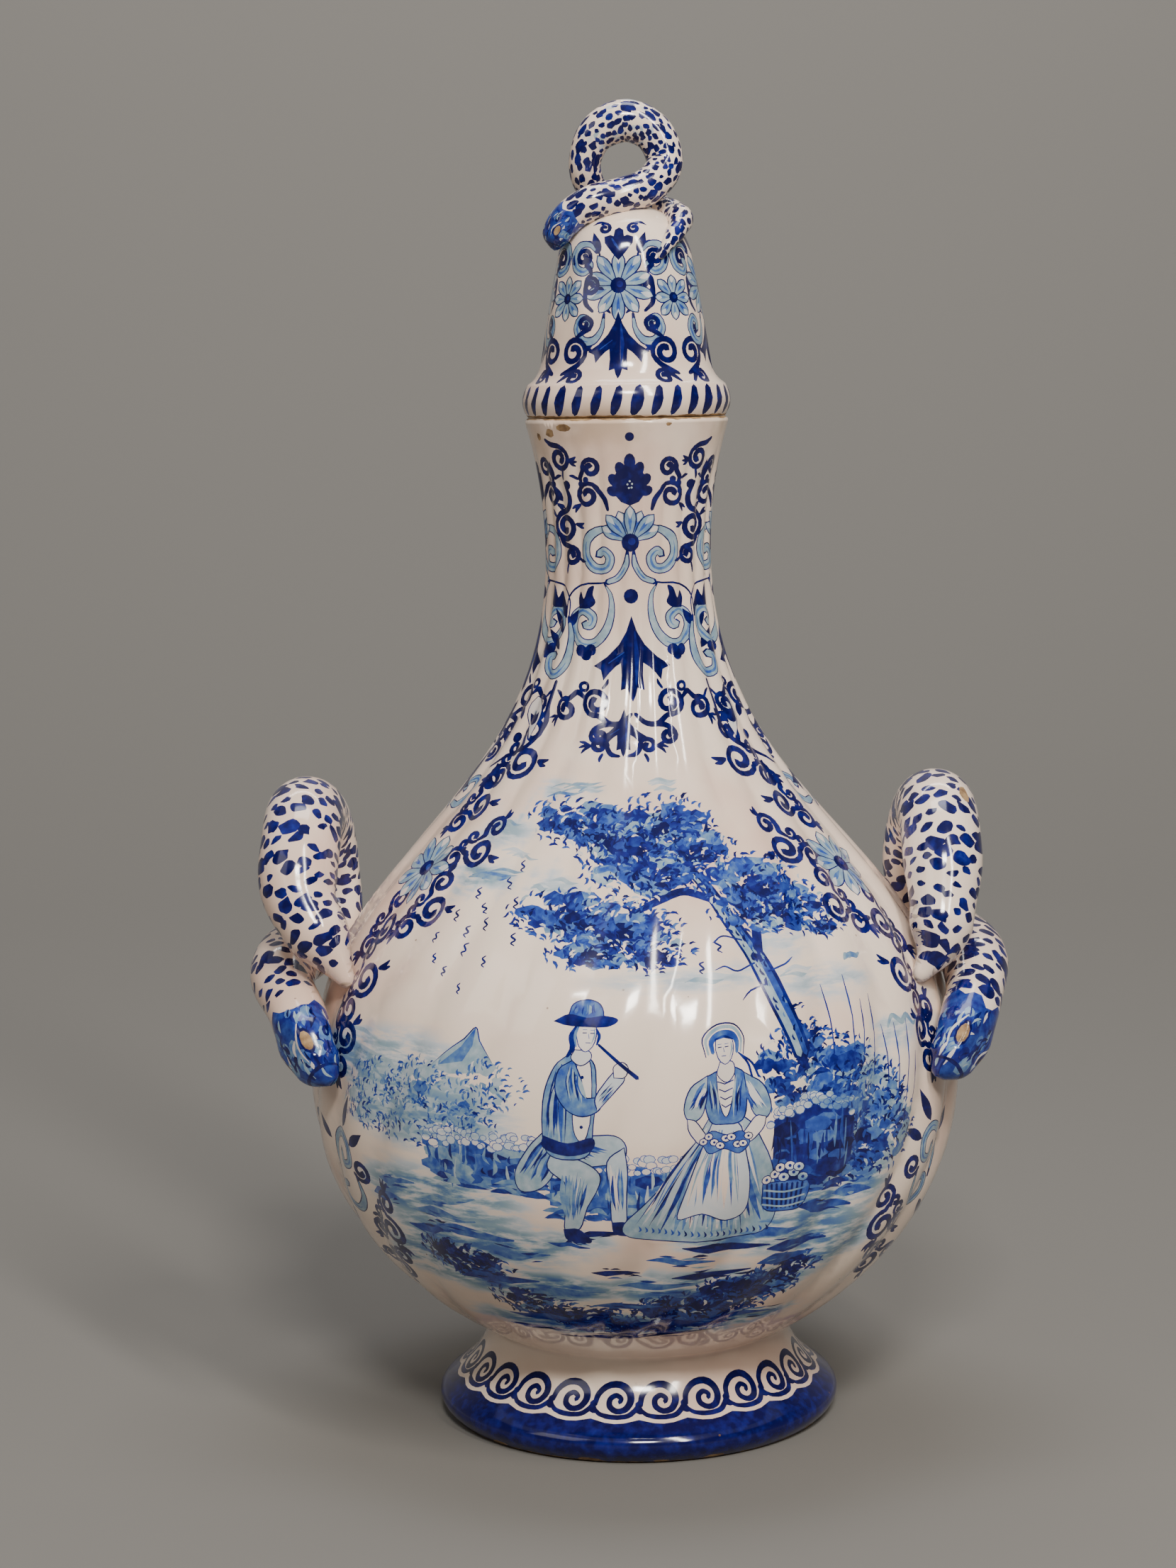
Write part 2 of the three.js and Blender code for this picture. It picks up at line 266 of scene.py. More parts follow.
def leafMark(skin, u, v, k, size, angle, level):
    # one touch of distant foliage: a bent stroke, thick where the brush lands
    c, s = math.cos(angle), math.sin(angle)
    pts = ((-1, -0.34), (-0.6, 0.3), (0.3, 0.48), (1.05, -0.05), (0.2, -0.08), (-0.5, -0.4))
    fill(skin, [(u + (x * c - y * s) * size * k, v + (x * s + y * c) * size) for x, y in pts], level)


def foliage(skin, rng, azimuth, height, halfWide, halfHigh, count, size=1.45, dark=0.95, body=0.66):
    # patches of wash first, then touches from light at the rim to dark in the heart, and gaps of bare glaze
    crowding, spread, gaps = 0.64, 1.24, 0.1
    at = spotOn(skin, azimuth, height)
    if body:
        for _ in range(max(9, int(halfWide * halfHigh / (8 if body < 0.9 else 6)))):
            a, d = rng.uniform(0, turn), math.sqrt(rng.random()) * 0.84
            r = rng.uniform(0.17, 0.31 if body < 0.9 else 0.38) * (halfWide + halfHigh) / 2
            edge = [[r * 1.3 * math.cos(b) * rng.uniform(0.6, 1.2), r * 0.85 * math.sin(b) * rng.uniform(0.6, 1.2)]
                    for b in np.linspace(0, turn, 11, endpoint=False)]
            edge = np.array(edge) + (d * halfWide * math.cos(a), d * halfHigh * math.sin(a))
            fill(skin, at(edge), min(1, max(0.25, body + rng.uniform(-0.2, 0.3) - 0.34 * d)))
    for _ in range(int(count * crowding)):
        a, d = rng.uniform(0, turn), math.sqrt(rng.random()) * spread
        x, y = d * halfWide * math.cos(a), d * halfHigh * math.sin(a)
        if rng.random() < gaps:
            shade = rng.uniform(0.02, 0.3)
        elif d > 0.92:
            shade = rng.uniform(0.56, 0.97) if body > 0.5 else rng.uniform(0.45, 0.8)
        else:
            shade = dark + 0.1 - 0.2 * d - 0.14 * (y / halfHigh) + rng.uniform(-0.3, 0.12)
        u, v = at((x, y))[0]
        k = skin["unit"] / skin["radiusAt"](v)
        lean = math.atan2(y, x * 0.6) * 0.45 + rng.uniform(-1.0, 1.0)
        leafMark(skin, u, v, k, size * rng.uniform(0.75, 1.5), lean, min(1, max(0.02, shade)))


# the meshes

# sizes of the meshwork, in mm where nothing else is said
sheetWork = {
    "toneSteps": 20, "clayParts": 10,  # levels are rounded to one part in so many
    "flatAngle": 2.8,  # degrees: flatter neighbours of one tone become one face
    "feel": 0.35,  # mm, how far to either side the slope of the form is felt
    "weld": 2e-6, "sliver": 1e-7, "spillShare": 1.6,
}


def sheetGrid(half, rows, columnsAt):
    coords, edges, lastEnds = [], [], None
    for v in rows:
        n = columnsAt(v)
        first = len(coords)
        coords += [Vector((-half + 2 * half * i / n, v)) for i in range(n + 1)]
        ends = (first, len(coords) - 1)
        if lastEnds:
            edges += list(zip(lastEnds, ends))
        lastEnds = ends
    return coords, edges


def layMarks(marks, half, coords):
    # a mark that crosses the seam is laid at both ends of the sheet
    faces, info = [], []
    for outline, level, bare, area in marks:
        shifts = [0]
        if outline[:, 0].max() > half + 1e-6:
            shifts.append(-2 * half)
        if outline[:, 0].min() < -half - 1e-6:
            shifts.append(2 * half)
        for shift in shifts:
            faces.append(list(range(len(coords), len(coords) + len(outline))))
            coords += [Vector((x + shift, y)) for x, y in outline]
            info.append((level, bare, area))
    return faces, info


def tonesOf(area, owners, info, work):
    # the topmost mark gives a triangle its tone, and a mark whose outline leaked is left out
    covered = np.zeros(len(info))
    for size, own in zip(area, owners):
        for f in own:
            covered[f] += size
    spilt = {f for f, (_, _, want) in enumerate(info) if covered[f] > want * work["spillShare"] + 0.5}
    level, bare = np.zeros(len(area)), np.zeros(len(area))
    for i, own in enumerate(owners):
        top = max((f for f in own if f not in spilt), default=-1)
        if top >= 0:
            level[i], bare[i] = round(info[top][0] * work["toneSteps"]) / work["toneSteps"], info[top][1]
    return level, bare, len(spilt)


def mergeTones(mesh, work):
    # close the seam and the poles, merge the flat parts of one tone and cut them into triangles again
    bm = bmesh.new()
    bm.from_mesh(mesh)
    bmesh.ops.remove_doubles(bm, verts=bm.verts, dist=work["weld"])
    bmesh.ops.dissolve_degenerate(bm, edges=bm.edges, dist=work["sliver"])
    bmesh.ops.delete(bm, geom=[v for v in bm.verts if not v.link_faces], context="VERTS")
    tone, flake = bm.faces.layers.float["cobalt"], bm.faces.layers.float["bareClay"]
    for f in bm.faces:
        f.material_index = (round(f[tone] * work["toneSteps"])
                            + round(f[flake] * work["clayParts"]) * (work["toneSteps"] + work["clayParts"]))
    bmesh.ops.dissolve_limit(bm, angle_limit=math.radians(work["flatAngle"]), verts=bm.verts, edges=bm.edges,
                             use_dissolve_boundaries=False, delimit={"MATERIAL", "UV"})
    bmesh.ops.triangulate(bm, faces=bm.faces)
    for f in bm.faces:
        f.material_index = 0
    bm.to_mesh(mesh)
    bm.free()


def rollUp(skin, name, rows, columnsAt, place):
    work = sheetWork
    half = skin["unit"] * math.pi
    coords, edges = sheetGrid(half, rows, columnsAt)
    faces, info = layMarks(skin["marks"], half, coords)
    verts, _, tris, _, _, owners = delaunay_2d_cdt(coords, edges, faces, 0, 1e-5, True)
    uv = np.array([(p.x, p.y) for p in verts])
    tri = np.array([t for t in tris if len(t) == 3])
    owners = [o for t, o in zip(tris, owners) if len(t) == 3]
    a, b, c = uv[tri[:, 0]], uv[tri[:, 1]], uv[tri[:, 2]]
    area = 0.5 * np.abs((b[:, 0] - a[:, 0]) * (c[:, 1] - a[:, 1]) - (c[:, 0] - a[:, 0]) * (b[:, 1] - a[:, 1]))
    level, bare, spilt = tonesOf(area, owners, info, work)
    mid = (a + b + c) / 3
    keep = ((np.abs(mid[:, 0]) < half + 1e-6) & (mid[:, 1] > rows[0]) & (mid[:, 1] < rows[-1])
            & (area > work["sliver"]))
    tri, level, bare = tri[keep], level[keep], bare[keep]

    u, v = uv.T
    points, feel = place(u, v), work["feel"]
    normal = np.cross(place(u + feel, v) - place(u - feel, v), place(u, v + feel) - place(u, v - feel))
    normal /= np.maximum(np.linalg.norm(normal, axis=1), 1e-12)[:, None]
    mesh = bpy.data.meshes.new(name)
    mesh.from_pydata((points * mm).tolist(), [], tri.tolist())
    wash = skin["washAt"](u, v) if "washAt" in skin else np.zeros(len(uv))
    for label, kind, domain, key, values in (
            ("cobalt", "FLOAT", "FACE", "value", level), ("bareClay", "FLOAT", "FACE", "value", bare),
            ("wash", "FLOAT", "POINT", "value", wash),
            ("skinNormal", "FLOAT_VECTOR", "POINT", "vector", normal.ravel())):
        mesh.attributes.new(label, kind, domain).data.foreach_set(key, values)
    rolled = mesh.uv_layers.new(name="OFBake")
    spread = np.column_stack([(u + half) / (2 * half), (v - rows[0]) / (rows[-1] - rows[0])])
    corner = np.empty(len(mesh.loops), int)
    mesh.loops.foreach_get("vertex_index", corner)
    rolled.data.foreach_set("uv", np.clip(spread[corner], 0, 1).ravel())
    mergeTones(mesh, work)
    mesh.shade_smooth()
    kept = np.empty(len(mesh.vertices) * 3)
    mesh.attributes["skinNormal"].data.foreach_get("vector", kept)
    mesh.normals_split_custom_set_from_vertices(kept.reshape(-1, 3).tolist())
    mesh.attributes.remove(mesh.attributes["skinNormal"])
    piece = bpy.data.objects.new(name, mesh)
    bpy.context.collection.objects.link(piece)
    print(f"{name}: {len(skin['marks'])} strokes, {spilt} spilt, {len(mesh.polygons)} faces")
    return piece


# materials

def node(nodes, kind, **values):
    n = nodes.new(kind)
    for key, value in values.items():
        if key in n.inputs:
            n.inputs[key].default_value = value
        else:
            setattr(n, key, value)
    return n


glaze = {
    "white": (0.91, 0.75, 0.625, 1), "warm": (0.77, 0.55, 0.44, 1),
    "mist": (0.56, 0.60, 0.64, 1), "pale": (0.26, 0.37, 0.44, 1), "sky": (0.11, 0.215, 0.41, 1),
    "mid": (0.030, 0.078, 0.36, 1), "strong": (0.007, 0.011, 0.18, 1), "deep": (0.002, 0.002, 0.065, 1),
    "clay": (0.42, 0.27, 0.13, 1), "clayDark": (0.16, 0.085, 0.04, 1),
}


glazeFinish = {
    "ior": 1.48, "coat": 0.2, "coatRoughness": 0.04,
    "roughness": 0.07, "clayRoughness": 0.65, "cloudyRoughness": 0.12,
    "pooling": 0.62,  # how unevenly the cobalt lies in a stroke
    "pinholeScale": 120.0, "pinholeSize": 0.055, "pinholeDepth": 0.75, "stainDepth": 0.42,
    "raggedEdge": 0.0022, "footRing": 0.0009,  # metres
    "bump": 0.5, "bumpDistance": 0.0006, "waveScale": 22, "peelScale": 170, "peel": 0.10,
}


def tinGlaze(name, seatBand=None, footRing=False, stain=None):
    m = bpy.data.materials.new(name)
    m.use_nodes = True
    nodes, links = m.node_tree.nodes, m.node_tree.links
    nodes.clear()
    out = nodes.new("ShaderNodeOutputMaterial")
    g = glazeFinish
    skin = node(nodes, "ShaderNodeBsdfPrincipled", IOR=g["ior"])
    skin.inputs["Coat Weight"].default_value = g["coat"]
    skin.inputs["Coat Roughness"].default_value = g["coatRoughness"]
    links.new(skin.outputs[0], out.inputs[0])
    where = nodes.new("ShaderNodeTexCoord").outputs["Object"]

    def attribute(label):
        return node(nodes, "ShaderNodeAttribute", attribute_name=label).outputs["Fac"]

    def math2(kind, a, b, clamp=False):
        n = node(nodes, "ShaderNodeMath", operation=kind, use_clamp=clamp)
        for socket, value in zip(n.inputs, (a, b)):
            if isinstance(value, (int, float)):
                socket.default_value = value
            else:
                links.new(value, socket)
        return n.outputs[0]

    times, plus, minus = (partial(math2, kind) for kind in ("MULTIPLY", "ADD", "SUBTRACT"))

    def noiseAt(scale, detail=3, stretch=None, rough=0.5):
        n = node(nodes, "ShaderNodeTexNoise", Scale=scale, Detail=detail, Roughness=rough)
        source = where
        if stretch:
            mapping = nodes.new("ShaderNodeMapping")
            mapping.inputs["Scale"].default_value = stretch
            links.new(where, mapping.inputs["Vector"])
            source = mapping.outputs[0]
        links.new(source, n.inputs["Vector"])
        return n.outputs["Fac"]

    def between(value, low, high):
        n = node(nodes, "ShaderNodeMapRange", interpolation_type="SMOOTHSTEP")
        links.new(value, n.inputs["Value"])
        n.inputs["From Min"].default_value = low
        n.inputs["From Max"].default_value = high
        return n.outputs["Result"]

    def mix(fac, a, b):
        n = node(nodes, "ShaderNodeMix", data_type="RGBA")
        for socket, value in ((n.inputs[0], fac), (n.inputs[6], a), (n.inputs[7], b)):
            if isinstance(value, (int, float, tuple)):
                socket.default_value = value
            else:
                links.new(value, socket)
        return n.outputs[2]

    # pigment: what the strokes hold, uneven as a loaded brush leaves it, or the wet wash under them
    laid = attribute("cobalt")
    pooled = times(minus(noiseAt(260, 4), 0.5), g["pooling"])
    uneven = plus(laid, times(pooled, between(laid, 0.05, 0.5)))
    streaks = between(noiseAt(60, 5, (1, 1, 4.5), 0.62), 0.36, 0.62)
    wet = times(attribute("wash"), plus(times(streaks, 0.85), 0.15))
    pigment = math2("MAXIMUM", uneven, wet, True)
    ramp = nodes.new("ShaderNodeValToRGB")
    stops = (("white", 0.0), ("mist", 0.14), ("pale", 0.32), ("sky", 0.46), ("mid", 0.62), ("strong", 0.82),
             ("deep", 1.0))
    while len(ramp.color_ramp.elements) < len(stops):
        ramp.color_ramp.elements.new(0.5)
    for element, (label, place) in zip(ramp.color_ramp.elements, stops):
        element.position = place
        element.color = glaze[label]
    links.new(pigment, ramp.inputs[0])
    # the white is warmer where the glaze is thin, with a few pinholes
    thin = between(noiseAt(14, 4), 0.42, 0.72)
    ground = mix(times(thin, minus(1, between(pigment, 0, 0.2))), ramp.outputs[0], glaze["warm"])
    holes = node(nodes, "ShaderNodeTexVoronoi", Scale=g["pinholeScale"])
    links.new(where, holes.inputs["Vector"])
    rare = times(math2("LESS_THAN", holes.outputs["Distance"], g["pinholeSize"]),
                 between(noiseAt(35, 2), 0.56, 0.66))
    speckled = mix(times(rare, g["pinholeDepth"]), ground, glaze["clayDark"])
    # bare clay: where a flake of glaze is gone, on the seat of the lid and under the foot
    bare = attribute("bareClay")
    height = node(nodes, "ShaderNodeSeparateXYZ")
    links.new(where, height.inputs[0])
    ragged = times(minus(noiseAt(180, 4), 0.5), g["raggedEdge"])
    level = plus(height.outputs["Z"], ragged)
    if stain:
        near = times(between(level, *stain), between(noiseAt(45, 4), 0.44, 0.66))
        near = times(near, minus(1, between(pigment, 0.05, 0.3)))
        speckled = mix(times(near, g["stainDepth"]), speckled, glaze["clay"])
    if seatBand:
        low, high = seatBand
        seat = times(math2("GREATER_THAN", level, low), math2("LESS_THAN", level, high))
        bare = math2("MAXIMUM", bare, seat)
    if footRing:
        bare = math2("MAXIMUM", bare, math2("LESS_THAN", level, g["footRing"]))
    clay = mix(between(noiseAt(300, 4), 0.3, 0.75), glaze["clay"], glaze["clayDark"])
    colour = mix(bare, speckled, clay)
    links.new(colour, skin.inputs["Base Color"])
    shine = plus(times(bare, g["clayRoughness"]), times(noiseAt(90, 2), g["cloudyRoughness"]))
    links.new(plus(shine, g["roughness"]), skin.inputs["Roughness"])
    # slow waves and a little orange peel in the glaze
    bump = node(nodes, "ShaderNodeBump", Strength=g["bump"], Distance=g["bumpDistance"])
    waves = plus(noiseAt(g["waveScale"], 2), times(noiseAt(g["peelScale"], 2), g["peel"]))
    links.new(minus(waves, times(bare, 0.5)), bump.inputs["Height"])
    links.new(bump.outputs[0], skin.inputs["Normal"])
    return m


# the vase: sizes of its form, the same as the solid's

vaseSizes = {
    "standRadius": 76, "edgeRadius": 80.5, "edgeHeight": 7.5, "flareRadius": 78, "flareHeight": 11.5,
    "ringWidth": 15, "hollowHeight": 31, "stemRadius": 60.5, "stemHeight": 36,
    "bellyRadius": 129.5, "bellyHeight": 138, "neckRadius": 32.6, "neckHeight": 345,
    "rimRadius": 40, "rimHeight": 398, "wall": 7, "floor": 10, "mouthRadius": 31, "mouthDepth": 14,
    "flutes": 24, "fluteDepth": 2.2, "fluteTurn": 0.34,
}


def bodyRuns(d):
    low = bezierRun([(d["stemRadius"], d["stemHeight"]), (d["stemRadius"] + 38, d["stemHeight"] + 20),
                     (d["bellyRadius"], d["bellyHeight"] - 47), (d["bellyRadius"], d["bellyHeight"])], 80)
    high = bezierRun([(d["bellyRadius"], d["bellyHeight"]), (d["bellyRadius"], d["bellyHeight"] + 91),
                      (d["neckRadius"], d["neckHeight"] - 103), (d["neckRadius"], d["neckHeight"])], 140)
    return low, high


def vaseProfile(d):
    foot = bezierRun([(d["standRadius"], 0),
                      (d["edgeRadius"] * 2 - (d["standRadius"] + d["flareRadius"]) / 2, d["edgeHeight"] * 0.85),
                      (d["flareRadius"], d["flareHeight"])], 20)
    flare = bezierRun([(d["flareRadius"], d["flareHeight"]), (d["flareRadius"] - 10, d["flareHeight"] + 6.5),
                       (d["stemRadius"], d["stemHeight"] - 9), (d["stemRadius"], d["stemHeight"])], 30)
    low, high = bodyRuns(d)
    neck = bezierRun([(d["neckRadius"], d["neckHeight"]), (d["neckRadius"], d["neckHeight"] + 20),
                      (d["rimRadius"] - 4, d["rimHeight"] - 14), (d["rimRadius"], d["rimHeight"] - 1.2)], 40)
    outer = np.vstack([foot, flare, low, high, neck])
    wall = np.vstack([low, high, neck])
    t = np.gradient(wall, axis=0)
    t /= np.maximum(np.hypot(*t.T), 1e-9)[:, None]
    inner = wall + np.column_stack([-t[:, 1], t[:, 0]]) * d["wall"]
    floorTop = d["hollowHeight"] + d["floor"]
    inner = inner[(inner[:, 1] > floorTop + 2) & (inner[:, 1] < d["rimHeight"] - d["mouthDepth"] - 6)][::-6]
    under = [(0.01, d["hollowHeight"]), (d["stemRadius"] - d["wall"] - 5, d["hollowHeight"]),
             (d["stemRadius"] - d["wall"], d["hollowHeight"] - 7), (d["standRadius"] - d["ringWidth"], 0),
             (d["standRadius"] - 0.5, 0)]
    mouth = [(d["rimRadius"] - 1.2, d["rimHeight"]), (d["mouthRadius"], d["rimHeight"]),
             (d["mouthRadius"], d["rimHeight"] - d["mouthDepth"])]
    floor = [(inner[-1][0] - (inner[-1][1] - floorTop), floorTop), (0.01, floorTop)]
    return profileOf(under, outer, mouth, inner, floor)


def vaseSkin(d):
    profile = vaseProfile(d)
    s, r, z = profile["s"], profile["r"], profile["z"]
    first = int(np.argmax((z < 0.01) & (r > d["standRadius"] - 0.6)))
    last = int(np.argmax(z))
    return {
        "unit": d["bellyRadius"], "marks": [], "profile": profile, "outside": (s[first], s[last]),
        "radiusAt": lambda v: np.interp(v, s, r),
        "runAt": lambda h: float(np.interp(h, z[first:last], s[first:last])),
    }


def vasePlace(skin, d):
    s, r, z = (skin["profile"][k] for k in "srz")
    low, high = skin["outside"]
    fade = (d["rimHeight"] - d["bellyHeight"]) * 0.8

    def place(u, v):
        angle = u / skin["unit"]
        rr, zz = np.interp(v, s, r), np.interp(v, s, z)
        twist = math.radians(d["fluteTurn"]) * fade * (1 - np.exp(-(zz - d["stemHeight"]) / fade))
        across = np.sin((angle - math.pi / 2 - twist) * d["flutes"] / 2)
        lobe = (np.sqrt(across ** 2 + 0.05) - 0.2236) / 0.801
        grow = np.clip((zz - d["stemHeight"]) / 22, 0, 1)
        ebb = np.clip((zz - d["rimHeight"] + 30) / 24, 0, 1)
        depth = d["fluteDepth"] * np.sqrt(rr / d["bellyRadius"]) * grow ** 2 * (3 - 2 * grow)
        depth = depth * (1 - ebb ** 2 * (3 - 2 * ebb)) * ((v > low) & (v < high))
        rr = rr - depth * (1 - lobe)
        return np.column_stack([rr * np.sin(angle), -rr * np.cos(angle), zz])
    return place


# painting on the vase; azimuth 0 is the front, positive to the viewer's right

neckArt = {"columns": 4, "dotTop": 391, "palmette": 365, "halfDaisy": 350.5, "dotLow": 330, "arrow": 304.5,
           "arrowSize": 17, "lowCurl": 288.5, "smallArrow": 278, "betweenCurls": 352}


neckMotifs = {
    # all on the right of a column, from the heart of its half daisy: centre, radius, start, turns, hand, lead
    "topCurls": [((17.0, 18.2), 5.0, 165, 1.4, -1, [(8.6, 12.6), (9.8, 16.5)]),
                 ((15.6, 28.8), 3.8, -20, 1.3, 1, [(19.6, 22.6), (20.4, 25.0)])],
    "hook": [(2.2, 2.0), (7, 4.9), (12.6, 4.8), (17.2, 1.2), (17.8, -5), (14.2, -9.8), (9.4, -9.6), (8.0, -5.8),
             (10.4, -3.2), (12.8, -4.6)],
    "foot": [(1.2, -3), (1.8, -8.5), (5, -13.4), (9.4, -15.2)],
    "link": [(8, -14.6), (12, -15.6), (18, -15.8), (23, -17.5), (26.6, -22), (27.6, -29)],
    "drop": [(10.5, -15.6), (8.0, -20), (7.8, -27), (10.2, -34), (15.2, -38.8), (20.6, -38.6), (24.4, -33.8),
             (23.6, -28.4), (19.6, -26), (15.8, -28.4), (16.6, -31.8), (19, -31.4)],
    "flame": [(21.8, -25.4), (22.2, -21.5), (20.8, -18.8), (19.2, -21.6), (17.2, -17.6), (14.8, -16.6),
              (15.4, -20), (14.4, -23), (16.8, -25.2)],
    "lowCurls": [((14.4, 1.6), 5.6, -100, 1.45, 1, [(0.8, -3.0), (4.6, -6.6), (9.4, -7.0)]),
                 ((27.6, -1.4), 4.6, 110, 1.35, -1, [(19.8, 3.4), (22.4, 5.6)]),
                 ((13.6, -12.2), 3.3, 60, 1.15, -1, [(7.4, -7.6), (11.4, -7.4)])],
}


def paintNeck(skin, a):
    for column in range(a["columns"]):
        azimuth = 1.5 + column * 360 / a["columns"]
        fill(skin, spotOn(skin, azimuth, a["dotTop"])(ring(0, 0, 1.8)), 1)
        for side in (1, -1):
            at = spotOn(skin, azimuth, a["halfDaisy"], 0, 1, side)
            stroke(skin, at, neckMotifs["link"], 0.8, 0.94, (0.6, 0.6), pieces=6)
            scroll(skin, at, neckMotifs["drop"], 4.2, 0.3, 0.16)
            fill(skin, at(smoothLine(neckMotifs["flame"] + neckMotifs["flame"][:1], 3)[:-1]), 0.99)
            for x, y, r in ((16.6, -41.4, 2.3), (20.6, -41.6, 2.4), (18.6, -43.6, 2.0)):
                dot(skin, at, x, y, r, 0.93)
            scroll(skin, at, neckMotifs["foot"], 2.8, 0.3, 0.4)
            scroll(skin, at, neckMotifs["hook"], 4.1, 0.32, 0.3)
            for (cx, cy), r, start, turns, hand, lead in neckMotifs["topCurls"]:
                curl(skin, at, cx, cy, r, start, turns, hand, 1.7, 0.99, lead)
            for cx, cy in ((20.2, 22.6), (17.6, 24.2), (20.6, 19.6)):
                dot(skin, at, cx, cy, 1.3, 0.97)
            ticks(skin, at, 21.6, 24.6, 20, 1)
            ticks(skin, at, 20.6, 14.6, -40, 2)
            at = spotOn(skin, azimuth, a["lowCurl"], 0, 1, side)
            for (cx, cy), r, start, turns, hand, lead in neckMotifs["lowCurls"]:
                curl(skin, at, cx, cy, r, start, turns, hand, 1.9, 0.98, lead)
            dot(skin, at, 19.6, 7.8, 2.3, 0.98)
            dot(skin, at, 19.6, 7.8, 0.9, 0)
            ticks(skin, at, 31.6, -4.6, -40, 3, 4.4)
            ticks(skin, at, 30.2, 3.0, 55, 1)
            ticks(skin, at, 11.6, 7.4, 120, 1, 4)
            at = spotOn(skin, azimuth - (4.5 if column == 0 else 0), a["smallArrow"], 0, 1, side)
            curl(skin, at, 9.4, -4.4, 3.3, 200, 1.2, -1, 1.7, 0.97, [(1.6, -8.6), (4.6, -8.0)])
            ticks(skin, at, 12.8, -4.4, -10, 3, 4.8)
            ticks(skin, at, 8.4, -8, 290, 1, 3.4)
        at = spotOn(skin, azimuth, a["halfDaisy"])
        daisy(skin, at, 0, 0, 14.2, 7, 124, 28, 0.25)
        palmette(skin, spotOn(skin, azimuth, a["palmette"]), 0, 5.6, 17.5)
        fill(skin, spotOn(skin, azimuth, a["dotLow"])(ring(0, 0, 2.9)), 0.98)
        arrowLeaf(skin, spotOn(skin, azimuth, a["arrow"]), 0, 2.6, a["arrowSize"])
        arrowLeaf(skin, spotOn(skin, azimuth - (4.5 if column == 0 else 0), a["smallArrow"]), 0, 1.6, 10)
        middle = (azimuth + 180 / a["columns"] + 180) % 360 - 180
        paintNeckSides(skin, middle, 1 if -180 < middle < -90 or 0 < middle < 90 else -1, a)


def paintNeckSides(skin, azimuth, side, a):
    # the chain of dark curls between two columns, and the dark leaves below it
    at = spotOn(skin, azimuth, a["betweenCurls"], 0, 1, side)
    curl(skin, at, 1.6, 31.0, 4.8, 100, 1.4, 1, 1.8, 0.98, [(8.4, 38.4), (5.4, 36.6)])
    curl(skin, at, 2.0, 4.6, 5.7, 60, 1.5, -1, 1.9, 0.98, [(1.0, 21.5), (-1.4, 16.0), (0.0, 11.4)])
    curl(skin, at, -0.6, -6.6, 3.6, 80, 1.3, 1, 1.7, 0.98, [(5.6, 0.0), (3.8, -2.4)])
    for x, y, lean, count in ((-3.2, 30.4, 190, 3), (-3.6, 5.6, 190, 2), (-4.0, -7.6, 200, 1), (1.0, -10, 280, 1),
                              (7.4, 8.6, 30, 2), (0.8, 26.2, 280, 1)):
        ticks(skin, at, x, y, lean, count, 3.6)
    dot(skin, at, -0.6, 20.6, 1.9, 0.98)
    leaf(skin, at, 3.4, 14.2, 9.0, 3.2, -34, 0.98)
    leaf(skin, at, 6.6, 22.0, 8.4, 3.0, -12, 0.98)
    low = spotOn(skin, azimuth, 312, 0, 1, side)
    for x, y, length, lean in ((0.8, 9.5, 10.5, -24), (1.6, 3.5, 11.5, -34), (2.4, -3.0, 11.5, -46),
                               (-0.6, 6.0, 8.0, 30)):
        leaf(skin, low, x, y, length, 3.6, lean, 0.98)
    scroll(skin, low, [(-0.4, 10), (-2.4, 2), (-2.0, -7), (2.0, -12.6), (7.4, -11.6), (8.4, -6.6),
                       (4.6, -5.2)], 4.2, 0.33)
    edge = spotOn(skin, azimuth, 280, 0, 1, side)
    stroke(skin, edge, [(0.6, 19), (1.4, 9), (0.4, 1), (5.0, -8), (15, -13), (27, -20)], 2.3, 0.98,
           (0.6, 0.5), pieces=6)
    petal(skin, edge, 5.6, -6.0, 19, 10, -14, 0.1)
    for lean in (-30, 0, 30):
        leaf(skin, edge, 7.4, 0.4, 6.4, 3.2, lean - 12, 0.98)
    dot(skin, edge, 14.6, -5.6, 2.3, 0.98)
    leaf(skin, edge, 16, 2, 9, 3.6, -20, 0.98)


shoulderArt = {
    # azimuth from the handle's middle plane towards the panel, height, lean, size
    "sprigs": [(42, 267, -50, 1.15), (32, 250, -64, 1.0), (44.5, 235, -36, 1.05), (40, 214, -58, 1.1),
               (27, 205, -66, 1.1), (30, 187, -84, 1.15), (28.5, 165, -96, 1.0)],
    "daisy": (26.5, 226.5, 17), "leafColumn": 262,
    "below": [(38, 92, 60, 1.15), (32, 73, 30, 1.0)],
    "lightCurls": 118,
}


